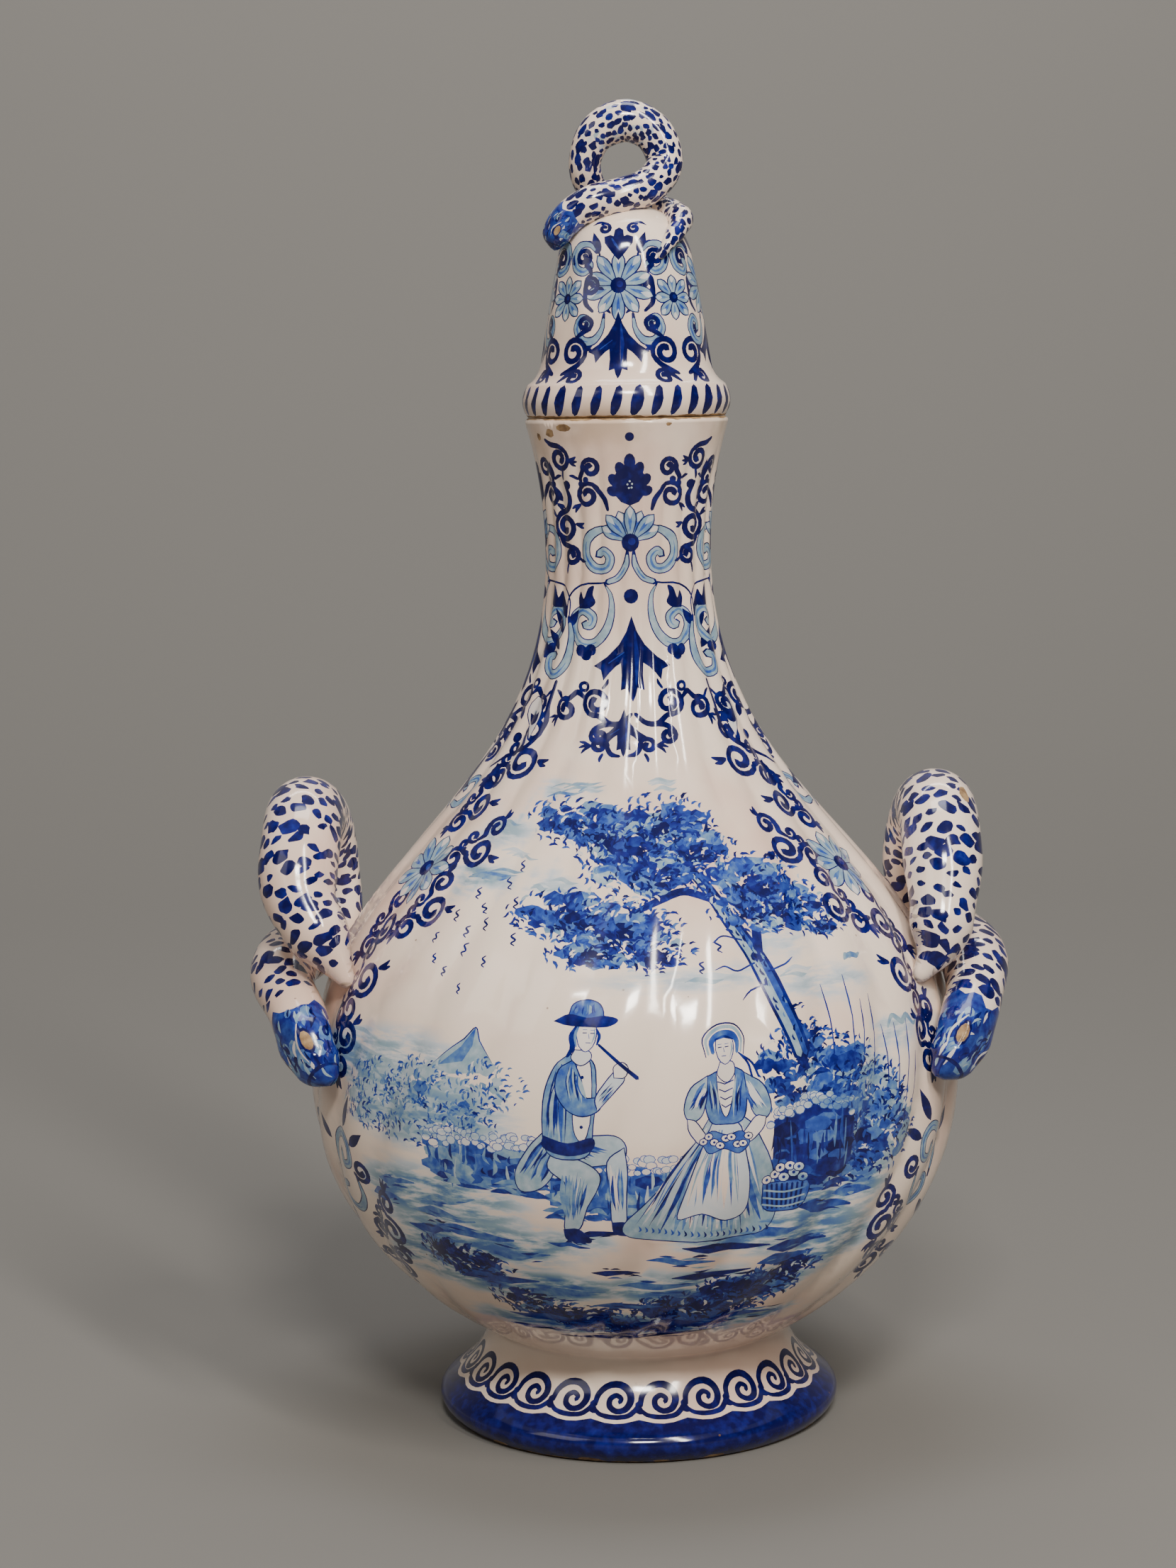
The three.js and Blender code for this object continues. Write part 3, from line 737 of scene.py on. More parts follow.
def paintShoulders(skin, a):
    for middle, side in ((90, -1), (90, 1), (-90, 1), (-90, -1)):
        # side is towards the panel in front (or behind) of this handle
        for away, height, lean, size in a["sprigs"]:
            sprig(skin, spotOn(skin, middle + side * away, height, side * -lean, size * 1.08, -side))
        away, height, r = a["daisy"]
        daisy(skin, spotOn(skin, middle + side * away, height), 0, 0, r, 9)
        for away, height, lean, size in a["below"]:
            sprig(skin, spotOn(skin, middle + side * away, height, side * lean, size * 1.05, side))
        at = spotOn(skin, middle + side * 27, a["lightCurls"], 0, 1, side)
        scroll(skin, at, [(-9, -14), (-10, -4), (-6, 6), (2, 9.6), (8, 5.6), (7.4, -1.6), (1.4, -3), (0, 2)],
               4.2, 0.34)
        scroll(skin, at, [(10, -6), (9, -16), (2, -22.5), (-5, -20), (-6, -13.6), (-0.4, -12)], 4.0, 0.34)
        for x, y, length, wide, lean in ((4, 12, 15, 5, -25), (10, 6, 12, 4.4, -60), (-8, -24, 13, 4.6, 150),
                                         (-12, 4, 12, 4.4, 40)):
            leaf(skin, at, x, y, length, wide, lean, 0.98)
        curl(skin, at, 14, -4, 4.8, 200, 1.35, 1, 1.9, 0.97)
        curl(skin, at, 12, -28, 5.0, 120, 1.35, -1, 1.9, 0.97)
        at = spotOn(skin, middle, a["leafColumn"], 0, 1, side)
        scroll(skin, at, [(3, -24), (9, -18), (16, -18), (20, -11), (17, -5), (12, -7), (13, -11)], 3.8, 0.34)
        curl(skin, at, 12, 8, 4.6, -90, 1.35, 1, 1.8, 0.97)
        low = spotOn(skin, middle, 108, 0, 1, side)
        scroll(skin, low, [(3, -40), (8, -30), (16, -31), (20, -24), (16, -18.4), (11.6, -21)], 3.8, 0.34)
        curl(skin, low, 19, 15, 5.2, -90, 1.35, 1, 1.9, 0.97, [(7, 18), (13, 8)])
        leaf(skin, low, 15, -4, 13, 4.8, -100, 0.98)
    for middle in (90, -90):
        arrowLeaf(skin, spotOn(skin, middle, a["leafColumn"]), 0, -6, 15)
        low = spotOn(skin, middle, 108)
        daisy(skin, low, 0, 0, 15, 11)
        arrowLeaf(skin, low, 0, -32, 14)


# the landscape on the front, and a plainer spray of flowers on the back

def paintTree(skin, rng):
    def line(points):
        return np.array([(math.radians(az) * skin["unit"], skin["runAt"](z)) for az, z in points])

    trunk = smoothLine(line([(29.5, 167), (27, 184), (24.6, 201), (20.8, 214), (17.2, 226), (11, 238)]), 6)
    brush(skin, trunk, 8.4, 0.9, (1.0, 0.35), 0.75)
    brush(skin, trunk[:-4] + (-1.4, 0), 3.6, 0.32, (0.8, 0.3), 0.8)
    brush(skin, trunk[:-4] + (1.6, 0), 2.6, 0.66, (0.8, 0.3), 0.8)
    for branch, width in (([(25, 200), (26.5, 210), (28.5, 219), (30, 226)], 3.6),
                          ([(18.5, 221), (12, 224), (5, 221), (-3, 215)], 3.4),
                          ([(14, 231), (20, 240), (23, 247)], 2.4), ([(11, 237), (2, 244), (-8, 247)], 2.6)):
        brush(skin, smoothLine(line(branch), 6), width, 0.88, (1, 0.3))
    for twig in ([(24, 199), (20, 197), (17.5, 199), (15.5, 198)], [(22.5, 207), (18.5, 209), (16, 207)],
                 [(26.2, 196), (30, 198), (32, 200)], [(25.6, 192), (22, 190), (20, 187)]):
        brush(skin, smoothLine(line(twig), 5), 0.7, 0.8, (1, 0.4))
    for _ in range(46):
        i = rng.randrange(2, len(trunk) - 8)
        u, v = trunk[i] + (rng.uniform(-2.6, 3.2), rng.uniform(-1, 1))
        leafMark(skin, u, v, 1.1, rng.uniform(0.9, 1.8), rng.uniform(1.1, 1.9), rng.choice((0.98, 0.9, 0.45)))
    masses = [(-20, 249, 15, 8, 95), (-11, 246, 20, 9, 150), (1, 241, 22, 13, 240), (10, 246, 17, 12, 190),
              (16, 238, 16, 10, 150), (4, 230, 22, 9, 190), (-13, 217, 22, 10, 190), (-3, 212, 20, 12, 210),
              (4, 205, 13, 8, 100), (-8, 205, 16, 7, 110), (30, 226, 20, 11, 200), (36, 217, 18, 10, 170),
              (27, 217, 15, 9, 120), (43, 210, 11, 6, 70)]
    for az, z, wide, high, count in masses:
        foliage(skin, rng, az, z, wide, high, count, 1.35, 0.95, 0.78)
    for az, z, wide, high, count in masses:
        foliage(skin, rng, az, z - 2, wide * 0.5, high * 0.5, count // 3, 1.35, 1.15, 1.0)


def paintBushes(skin, rng):
    for az, z, wide, high, count in ((-47, 151, 20, 9, 150), (-38, 153, 17, 10, 150), (-52, 143, 15, 8, 90),
                                     (-31, 149, 14, 10, 120), (-43, 141, 24, 8, 170), (-24, 158, 11, 8, 80),
                                     (-29, 140, 12, 7, 80)):
        foliage(skin, rng, az, z, wide, high, int(count * 1.5), 1.1, 0.7, 0.34)
    for az, z, wide, high, count in ((33, 165, 13, 10, 130), (38, 157, 17, 13, 200), (34, 143, 14, 15, 200),
                                     (43, 143, 17, 14, 210), (48, 133, 14, 14, 160), (40, 128, 17, 11, 180),
                                     (34, 126, 11, 10, 110), (47, 150, 9, 8, 70), (26, 160, 11, 12, 110),
                                     (30, 172, 9, 11, 80)):
        foliage(skin, rng, az, z, wide, high, count, 1.4, 0.98, 0.86 if az < 42 else 0.6)
    for az, z, height, lean in ((36, 165, 26, 4), (40, 162, 32, 8), (42, 160, 24, 12), (45, 155, 30, 9),
                                (50, 146, 26, 10), (52, 142, 31, 14), (48, 150, 22, 6), (54, 138, 22, 16)):
        at = spotOn(skin, az, z, -lean)
        stroke(skin, at, [(0, 0), (0.8, height * 0.5), (0, height)], 0.55, 0.75, (1, 0.5), pieces=5)


def paintGround(skin, rng):
    # dark bank along the bottom
    for az, z, wide, high, count in ((-33, 86, 16, 7, 150), (-38, 90, 12, 6, 90), (-16, 66, 18, 6, 150),
                                     (-24, 72, 14, 6, 100), (12, 68, 26, 8, 240), (22, 76, 20, 8, 160),
                                     (2, 59, 24, 5, 150), (30, 84, 13, 6, 90), (-8, 60, 16, 5, 90)):
        foliage(skin, rng, az, z, wide, high, int(count * 1.3), 1.5, 1.1, 0.98)
    strokes = [(-36, 105, 30, 4.5, 0.5), (-30, 99, 34, 5, 0.62), (-22, 92, 26, 4, 0.55), (-28, 80, 34, 6, 0.72),
               (-14, 76, 30, 5, 0.5), (-6, 103, 22, 2.6, 0.9), (-12, 98, 16, 2.2, 0.75), (16, 96, 34, 4.4, 0.92),
               (8, 91, 26, 3.2, 0.6), (24, 101, 26, 5, 0.6), (30, 94, 26, 6, 0.75), (14, 84, 30, 4, 0.9),
               (-4, 86, 18, 3, 0.92), (4, 80, 30, 4, 0.5), (-18, 62, 40, 5, 0.7), (10, 60, 44, 5, 0.85),
               (-34, 112, 26, 3.6, 0.4), (-46, 116, 22, 4, 0.5), (-50, 108, 20, 5, 0.6), (34, 108, 26, 6, 0.7),
               (40, 112, 18, 5, 0.62), (28, 88, 22, 6, 0.66), (-2, 70, 26, 4, 0.6), (-40, 98, 22, 5, 0.7),
               (0, 54, 60, 3.5, 0.85), (-24, 56, 26, 3, 0.7), (24, 62, 30, 4, 0.75), (-12, 110, 14, 2, 0.55)]
    for az, z, length, width, level in strokes:
        at = spotOn(skin, az, z, rng.uniform(-5, 7))
        wobble = [(x * length / 2, rng.uniform(-0.9, 0.9)) for x in (-1, -0.5, 0, 0.5, 1)]
        stroke(skin, at, wobble, width, level, (0.1, 0.15), 0.7, pieces=5)
        for _ in range(5):
            x, y = rng.uniform(-0.45, 0.3) * length, rng.uniform(-0.9, 0.9) * width
            run = rng.uniform(0.15, 0.35) * length
            tone = min(1, max(0.15, level + rng.choice((-0.25, 0.18, 0.25))))
            stroke(skin, at, [(x, y), (x + run / 2, y + rng.uniform(-0.6, 0.6)), (x + run, y)],
                   rng.uniform(0.5, 1.3), tone, (0.2, 0.1))


def paintSky(skin, rng):
    for az, z in ((-38, 222), (-35, 217), (-41, 214), (-37, 209), (-33, 212), (-44, 206), (-36, 203), (-42, 199),
                  (-31, 226), (-29, 232), (-39, 195), (-34, 190), (9, 203), (13, 199), (17, 206), (-27, 220),
                  (-25, 208), (-30, 200)):
        at = spotOn(skin, az, z, rng.uniform(-25, 15), rng.uniform(0.8, 1.2))
        stroke(skin, at, [(0, 2.4), (-1.1, 1.0), (0.9, -0.2), (-0.3, -1.6), (1.2, -2.4)], 0.8, 0.9,
               (0.7, 0.5))
    # small clouds in light strokes
    for az, z, length, level in ((-24, 258, 20, 0.42), (-17, 259, 14, 0.3), (-39, 244, 14, 0.3),
                                 (-38, 228, 24, 0.46), (-33, 236, 16, 0.22), (-20, 226, 16, 0.24),
                                 (8, 260, 14, 0.2), (47, 196, 12, 0.36), (30, 195, 22, 0.2), (12, 194, 26, 0.22)):
        at = spotOn(skin, az, z, rng.uniform(-8, 8))
        for _ in range(4):
            x, y, run = rng.uniform(-0.5, 0) * length, rng.uniform(-2.2, 2.2), rng.uniform(0.4, 0.9) * length
            path = smoothLine([(x, y), (x + run * 0.35, y + 1.4), (x + run * 0.7, y + 0.2),
                               (x + run, y + 0.9)], 5)
            brush(skin, at(path), rng.uniform(0.8, 2.2), max(0.12, level + rng.uniform(-0.12, 0.08)),
                  (0.3, 0.1))


def paintHill(skin, rng):
    at = spotOn(skin, -29, 168)
    fill(skin, at([(-17, -6), (-9, 1), (-3, 5.5), (1, 10), (2.5, 6), (6, 1), (11, -4), (4, -7), (-8, -8)]),
         0.3)
    fill(skin, at([(-13, -5), (-4, 2.5), (1, 10), (0.5, 3), (-3, -3)]), 0.52)
    stroke(skin, at, [(-17, -6), (-9, 1), (-3, 5.5), (1, 10), (3, 5), (6, 1), (11, -4)], 0.5, 0.8)
    right = spotOn(skin, 56, 168)
    path = [(-12, 2), (-8, 6), (-4, 3), (0, 5), (4, 1), (9, 3)]
    stroke(skin, right, path, 2.2, 0.34, (0.4, 0.3), pieces=5)
    for az, z, length in ((-58, 168, 34), (-55, 162, 40), (-60, 156, 30), (-50, 165, 26)):
        at = spotOn(skin, az, z)
        stroke(skin, at, [(-length / 2, 0), (0, 1.2), (length / 2, -0.6)], 1.6, 0.26, (0.2, 0.2), pieces=6)


def clothShape(skin, at, outline, level, edge=0.5, edgeLevel=0.92):
    closed = smoothLine(list(outline) + [outline[0]], 4)
    fill(skin, at(closed[:-1]), level)
    third = len(closed) // 3
    loop = np.vstack([closed, closed[1:4]])
    for i in range(3):
        brush(skin, at(loop[i * third: (i + 1) * third + 3 if i < 2 else None]), edge, edgeLevel, (0.7, 0.6))


foldCrowding = 1.4


def drapery(skin, at, rng, top, bottom, count, sag=0.0, widest=2.4, tones=(0.34, 0.5, 0.62, 0.8, 0.95)):
    # folds that fan out from one edge of a cloth to the other
    top, bottom = smoothLine(top, 8), smoothLine(bottom, 8)
    count = round(count * foldCrowding)
    for i in range(count):
        share = (i + rng.uniform(0.2, 0.8)) / count
        a, b = top[int(share * (len(top) - 1))], bottom[int(share * (len(bottom) - 1))]
        low, high = rng.uniform(0, 0.25), rng.uniform(0.7, 0.97)
        ends = a + (b - a) * low, a + (b - a) * high
        mid = (ends[0] + ends[1]) / 2 + (rng.uniform(-0.7, 0.7) + sag, rng.uniform(-0.5, 0.5))
        tone = tones[rng.randrange(len(tones))]
        stroke(skin, at, [ends[0], mid, ends[1]], rng.uniform(0.5, widest) * (1.15 - 0.5 * tone), tone,
               (0.25, 0.12), pieces=5)


def genericHead(skin, at, x, y, r, hair, look):
    # a plain oval head, calm, with a brow, a nose and a mouth as touches of the brush
    clothShape(skin, at, [(x - r * 0.72, y), (x - r * 0.6, y + r * 0.8), (x, y + r * 1.1),
                          (x + r * 0.62, y + r * 0.8), (x + r * 0.74, y), (x + r * 0.5, y - r * 0.75),
                          (x, y - r * 1.12), (x - r * 0.5, y - r * 0.75)], 0.04, 0.4, 0.8)
    brush(skin, at([(x + 0.56 * r, y + 0.5 * r), (x + 0.62 * r, y), (x + 0.36 * r, y - 0.7 * r)]), 0.16 * r,
          0.34)
    for dx in (-0.26, 0.3):
        brush(skin, at([(x + look + (dx - 0.14) * r, y + 0.16 * r),
                        (x + look + (dx + 0.14) * r, y + 0.18 * r)]), 0.42, 0.9, (1, 0.8))
        brush(skin, at([(x + look + (dx - 0.15) * r, y + 0.38 * r),
                        (x + look + (dx + 0.15) * r, y + 0.4 * r)]), 0.25, 0.6, (1, 0.8))
    brush(skin, at([(x + look + 0.02 * r, y + 0.12 * r), (x + look + 0.08 * r, y - 0.2 * r)]), 0.3, 0.6,
          (0.7, 1))
    brush(skin, at([(x + look - 0.15 * r, y - 0.5 * r), (x + look + 0.19 * r, y - 0.49 * r)]), 0.38, 0.75,
          (0.8, 0.8))
    for points, width, level in hair:
        stroke(skin, at, [(x + px * r, y + py * r) for px, py in points], width, level, (0.6, 0.5))


shepherdArt = {"azimuth": -11, "height": 139, "size": 1.12, "seed": 21,
               # touches of the hair: points in head radii, width, level
               "hair": (([(-0.7, 0.6), (-1.05, -0.1), (-0.95, -0.9), (-1.3, -1.5)], 2.2, 0.85),
                        ([(-0.55, 0.7), (-0.8, 0.0), (-0.7, -0.8)], 1.1, 0.5),
                        ([(0.7, 0.5), (0.95, 0.0), (0.8, -0.6)], 1.2, 0.8))}
gathererArt = {"azimuth": 14.5, "height": 140, "size": 1.1, "seed": 22, "basketAway": 11, "basketHeight": 116,
               # touches of the hair and the bonnet: points in head radii, width, level
               "hair": (([(-0.95, -0.2), (-1.0, 0.6), (-0.3, 1.15), (0.6, 1.1), (1.05, 0.5), (1.0, -0.3)], 2.4, 0.62),
                        ([(-1.3, -0.3), (-1.4, 0.8), (-0.4, 1.6), (0.8, 1.55), (1.4, 0.7), (1.3, -0.3)], 1.3, 0.3),
                        ([(-1.5, -0.5), (-1.65, 0.9), (-0.5, 1.85), (0.9, 1.8), (1.65, 0.8), (1.5, -0.5)], 0.6, 0.95),
                        ([(-0.7, 0.75), (0, 0.95), (0.7, 0.7)], 1.0, 0.8)),
               # the discs of a flower in the lap and in the basket: half width, half height, sides, level
               "posy": ((1.7, 1.4, 8, 0.9), (1.35, 1.05, 8, 0.06), (0.45, None, 6, 0.85)),
               "flower": ((2.4, 2.0, 9, 0.9), (2.0, 1.6, 9, 0.07), (0.7, None, 6, 0.8))}


def paintShepherd(skin, a):
    # a seated shepherd of no one in particular, who plays a pipe
    at = spotOn(skin, a["azimuth"], a["height"], 0, a["size"])
    rng = random.Random(a["seed"])
    cloth, folds = partial(clothShape, skin, at), partial(drapery, skin, at, rng)
    cloth([(-7, 4), (-14, -3), (-19, -12), (-17, -18), (-9, -16), (-4, -8)], 0.3)
    folds([(-7, 2), (-5, -6)], [(-18, -13), (-9, -16)], 14, 0, 2.6)
    cloth([(-5, 0), (6, 2), (15, 2), (19, -1.5), (17.4, -6.6), (8, -8.4), (-3, -8)], 0.24)
    cloth([(18.4, -2), (19.4, -10), (18.6, -20), (18, -28), (13.6, -28.6), (13.4, -18), (12.6, -7)], 0.2)
    cloth([(-5, -3), (5, -6.6), (10, -11), (9.4, -16), (5.4, -23), (2.4, -31), (-2.6, -32), (-1.4, -22),
           (-0.4, -15), (-7, -9)], 0.27)
    folds([(-4, -1), (2, 1)], [(6, -7), (16, -3)], 14, 0, 2.2, (0.1, 0.4, 0.55, 0.7, 0.9))
    folds([(13, -8), (18, -6)], [(14.4, -27), (17.6, -26)], 9, 0, 1.6, (0.1, 0.4, 0.55, 0.75))
    folds([(-2, -8), (8, -12)], [(-1.6, -30), (2, -29)], 15, 0, 1.9, (0.1, 0.4, 0.55, 0.75, 0.9))
    for x, y in ((13.4, -28), (-3, -31.4)):
        cloth([(x, y), (x + 4.6, y), (x + 8.6, y - 3.2), (x + 8, y - 5), (x + 1, y - 4.4)], 0.93, 0.4)
    cloth([(-0.5, 28), (-5, 24), (-8.4, 15), (-9, 4), (-7, -4), (0, -6), (7, -4), (8.4, 5), (9.4, 16),
           (8.6, 25), (4.6, 28)], 0.42)
    cloth([(3, 27), (1.6, 16), (2, 4), (5, 0), (7.4, 6), (8, 16), (7, 26)], 0.06, 0.4)
    folds([(-4, 25), (0, 27)], [(-8, -2), (0, -4)], 16, -0.5, 2.4, (0.3, 0.62, 0.8, 0.97, 0.9))
    for y in (21, 17, 13, 9, 5):
        dot(skin, at, 4.6, y, 0.6, 0.95, sides=7)
    cloth([(-8.6, 1.4), (0, -0.6), (8, 1.4), (7.8, -2.6), (0, -4.6), (-8.4, -2.4)], 0.9, 0.4)
    cloth([(1.4, 26.4), (-3.6, 23), (-4.6, 16), (-0.6, 10.4), (5, 8.4), (10.4, 10.6), (10.6, 14.4),
           (5.4, 14.8), (4.4, 20)], 0.5)
    folds([(0, 25), (3, 23)], [(0, 12), (8, 12)], 11, -0.6, 1.8, (0.3, 0.7, 0.85, 0.97))
    cloth([(9.8, 10.2), (15.4, 16.4), (18.4, 20.2), (17.4, 23.2), (14.6, 22.6), (9.2, 15)], 0.14)
    folds([(10, 11), (10, 15)], [(16, 18), (14.6, 20)], 4, 0, 1.1)
    cloth([(15, 21), (18.4, 21), (19.6, 24), (17.6, 26), (14.8, 24.6)], 0.04, 0.4)
    brush(skin, at([(9.6, 31.6), (14, 27.8), (22.6, 20.6)]), 1.2, 0.93, (0.8, 1.3))
    cloth([(1.6, 29.6), (6.6, 29.4), (7.2, 26.8), (3.8, 24.6), (0.4, 26.8)], 0.1, 0.4)
    genericHead(skin, at, 5.2, 34.4, 4.7, a["hair"], 0.7)
    cloth([(-1.2, 40.4), (0.4, 44.8), (5, 46.2), (9.4, 44.6), (10.4, 40.2), (5, 39)], 0.62)
    cloth([(-5.6, 39), (-1, 41.2), (5, 40), (11, 41), (15.4, 39.8), (12, 37.6), (5, 37.2), (-1, 37.6)], 0.88,
          0.4)
    folds([(0, 41), (9, 41)], [(1.6, 45), (8, 45)], 6, 0, 1.4)


def paintGatherer(skin, a):
    # a seated woman of no one in particular, in wide skirts, who binds flowers from a basket
    at = spotOn(skin, a["azimuth"], a["height"], 0, a["size"])
    rng = random.Random(a["seed"])
    cloth, folds = partial(clothShape, skin, at), partial(drapery, skin, at, rng)
    cloth([(-5, 6), (-11, -3), (-17, -12), (-25, -21), (-33, -30), (-31, -35), (-20, -37), (-8, -38),
           (4, -37.4), (15, -36), (19.4, -28), (18.4, -15), (14, -4), (7, 6)], 0.3)
    folds([(-5, 4), (0, 3), (7, 4)], [(-31, -33), (-12, -37), (4, -37), (18, -31)], 84, -1.4, 3.6,
          (0.08, 0.2, 0.45, 0.6, 0.78, 0.95))
    cloth([(-4, 4), (-9, -8), (-13, -20), (-15, -29), (-7, -27), (1, -30), (8, -27), (9, -16), (7, -4),
           (5, 4)], 0.16)
    folds([(-3, 2), (4, 2)], [(-13, -27), (8, -26)], 30, -0.8, 2.2, (0.05, 0.08, 0.35, 0.5, 0.7))
    for x in np.arange(-28, 17, 2.2):
        y = -36.4 + 0.012 * (x - 2) ** 2 * 0.3
        stroke(skin, at, [(x, y + 2.4), (x + 0.8, y + 0.8), (x + 0.2, y)], 0.8, rng.choice((0.9, 0.6)),
               pieces=3)
    cloth([(-5.4, 20), (-6.6, 13), (-4.6, 5), (0, 3.6), (6.4, 5), (8.4, 12), (8.4, 20), (2, 22.6)], 0.56)
    cloth([(-2, 21), (-1.4, 12), (1, 6), (3.6, 12), (4.6, 21)], 0.06, 0.4)
    for y in (18, 15.4, 12.8, 10.2):
        brush(skin, at([(-1.6 + (18 - y) * 0.16, y), (1, y - 1), (4.2 - (18 - y) * 0.16, y)]), 0.5, 0.85,
              (0.8, 0.8))
    folds([(-5, 19), (-3, 20)], [(-4, 6), (-1, 5)], 6, 0, 1.3, (0.8, 0.95, 0.3))
    folds([(5, 20), (8, 19)], [(3, 5), (6, 6)], 6, 0, 1.3, (0.8, 0.95, 0.3))
    cloth([(-5, 20.4), (-11, 16.6), (-13.6, 9.6), (-11.6, 5.4), (-7.6, 7), (-5.6, 13)], 0.3)
    cloth([(8, 20.4), (14, 16.4), (16.6, 9), (14.4, 5), (10.4, 6.8), (8.6, 13)], 0.34)
    folds([(-6, 19), (-5, 15)], [(-13, 9), (-8, 7)], 8, 0, 1.8, (0.1, 0.6, 0.8, 0.95))
    folds([(8, 15), (9, 19)], [(10, 7), (16, 8)], 8, 0, 1.8, (0.1, 0.6, 0.8, 0.95))
    cloth([(-12.6, 6.4), (-9.6, 5.4), (-6, 0.4), (-3.4, -1), (-4, -3.6), (-8.4, -2.6), (-12, 2)], 0.06, 0.45)
    cloth([(14.6, 5.6), (11, 6), (7, 1.4), (4.4, -0.4), (5, -3), (9.4, -2), (13.6, 2)], 0.06, 0.45)
    cloth([(-8, -1.4), (-4, 1.6), (1, 0.2), (6, 1.4), (8.6, -2.4), (5, -6), (0, -4.4), (-5, -6)], 0.6, 0.4)
    for x in np.arange(-7, 8.5, 1.9):
        y = -1.8 + 1.6 * math.sin(x * 0.9)
        bloom(skin, at, x, y, a["posy"])
    basket = spotOn(skin, a["azimuth"] + a["basketAway"], a["basketHeight"])
    clothShape(skin, basket, [(-9, 4), (-7.4, -6), (0, -7.4), (7.4, -6), (9, 4)], 0.62)
    for x in np.arange(-7, 8, 2):
        stroke(skin, basket, [(x, 3.4), (x * 0.9, -2), (x * 0.84, -6)], 0.9, 0.95, (1, 1), pieces=3)
    for y in (1.4, -1.6, -4.4):
        stroke(skin, basket, [(-8, y), (0, y - 1.2), (8, y)], 0.7, 0.3, (1, 1), pieces=5)
    for x, y in ((-7.4, 5.6), (-4, 7.4), (-0.4, 6), (3.4, 7.6), (7, 5.6), (-2, 9.8), (2, 10.2), (5.4, 9.6)):
        bloom(skin, basket, x, y, a["flower"])
    cloth([(-0.4, 24.4), (4.2, 24.2), (4.8, 20.4), (1.8, 17.4), (-1.6, 20.4)], 0.06, 0.4)
    genericHead(skin, at, 1.6, 28.6, 4.5, a["hair"], -0.5)
    for bend in (1, 2.4):
        stroke(skin, at, [(6.6, 27), (8.6 + bend, 23.4), (9 + bend * 1.6, 18.8)], 0.9, 0.85, (0.5, 0.9))


def paintBank(skin, rng):
    # low banks of stone and grass: a dark wash, upright touches over it, pale flowers along the top
    for azimuth, z, half, high, base in ((1, 120, 34, 10, 0.6), (31, 133, 18, 15, 0.84), (-26, 128, 25, 9, 0.62)):
        at = spotOn(skin, azimuth, z)
        rim = [(x, high * (1 - 0.3 * abs(x / half) ** 3) + rng.uniform(-1, 1)) for x in np.linspace(-half,
                                                                                                    half, 15)]
        foot = [(x, -high * (1 - 0.35 * (x / half) ** 2) + rng.uniform(-1, 1)) for x in np.linspace(half,
                                                                                                    -half,
                                                                                                    13)]
        fill(skin, at(rim + foot), base)
        for _ in range(34):
            x, y = rng.uniform(-0.95, 0.95) * half, rng.uniform(-0.85, 0.8) * high
            r = rng.uniform(2.0, 4.4)
            dot(skin, at, x, y, r * 1.4, min(1, base + rng.uniform(-0.3, 0.25)), r * 0.7, 7)
        for x in np.arange(-half, half, 1.5):
            start, run = rng.uniform(-0.3, 1.05) * high, rng.uniform(0.3, 1.1) * high
            path = [(x, start), (x + rng.uniform(-1, 1), start - run * 0.6),
                    (x + rng.uniform(-1.4, 1.4), start - run)]
            stroke(skin, at, path, rng.uniform(0.7, 1.5), min(1, base + rng.uniform(-0.4, 0.3)), (0.3, 0.2))
        for x in np.arange(-half, half, 2.6):
            y = high * (1 - 0.3 * abs(x / half) ** 3)
            for _ in range(3):
                fx, fy, r = x + rng.uniform(-1.5, 1.5), y + rng.uniform(-2.4, 3.4), rng.uniform(1.2, 2.1)
                dot(skin, at, fx, fy, r + 0.3, 0.6, (r + 0.3) * 0.75, 8)
                dot(skin, at, fx, fy, r, rng.uniform(0.02, 0.2), r * 0.72, 8)
        for _ in range(16):
            x, y = rng.uniform(-1, 1) * half, rng.uniform(-1.25, -0.75) * high
            run = rng.uniform(6, 15)
            stroke(skin, at, [(x - run / 2, y), (x, y + rng.uniform(0, 1.6)), (x + run / 2, y - 0.5)],
                   rng.uniform(1.2, 3.0), min(1, base + rng.uniform(-0.3, 0.2)), (0.15, 0.1))


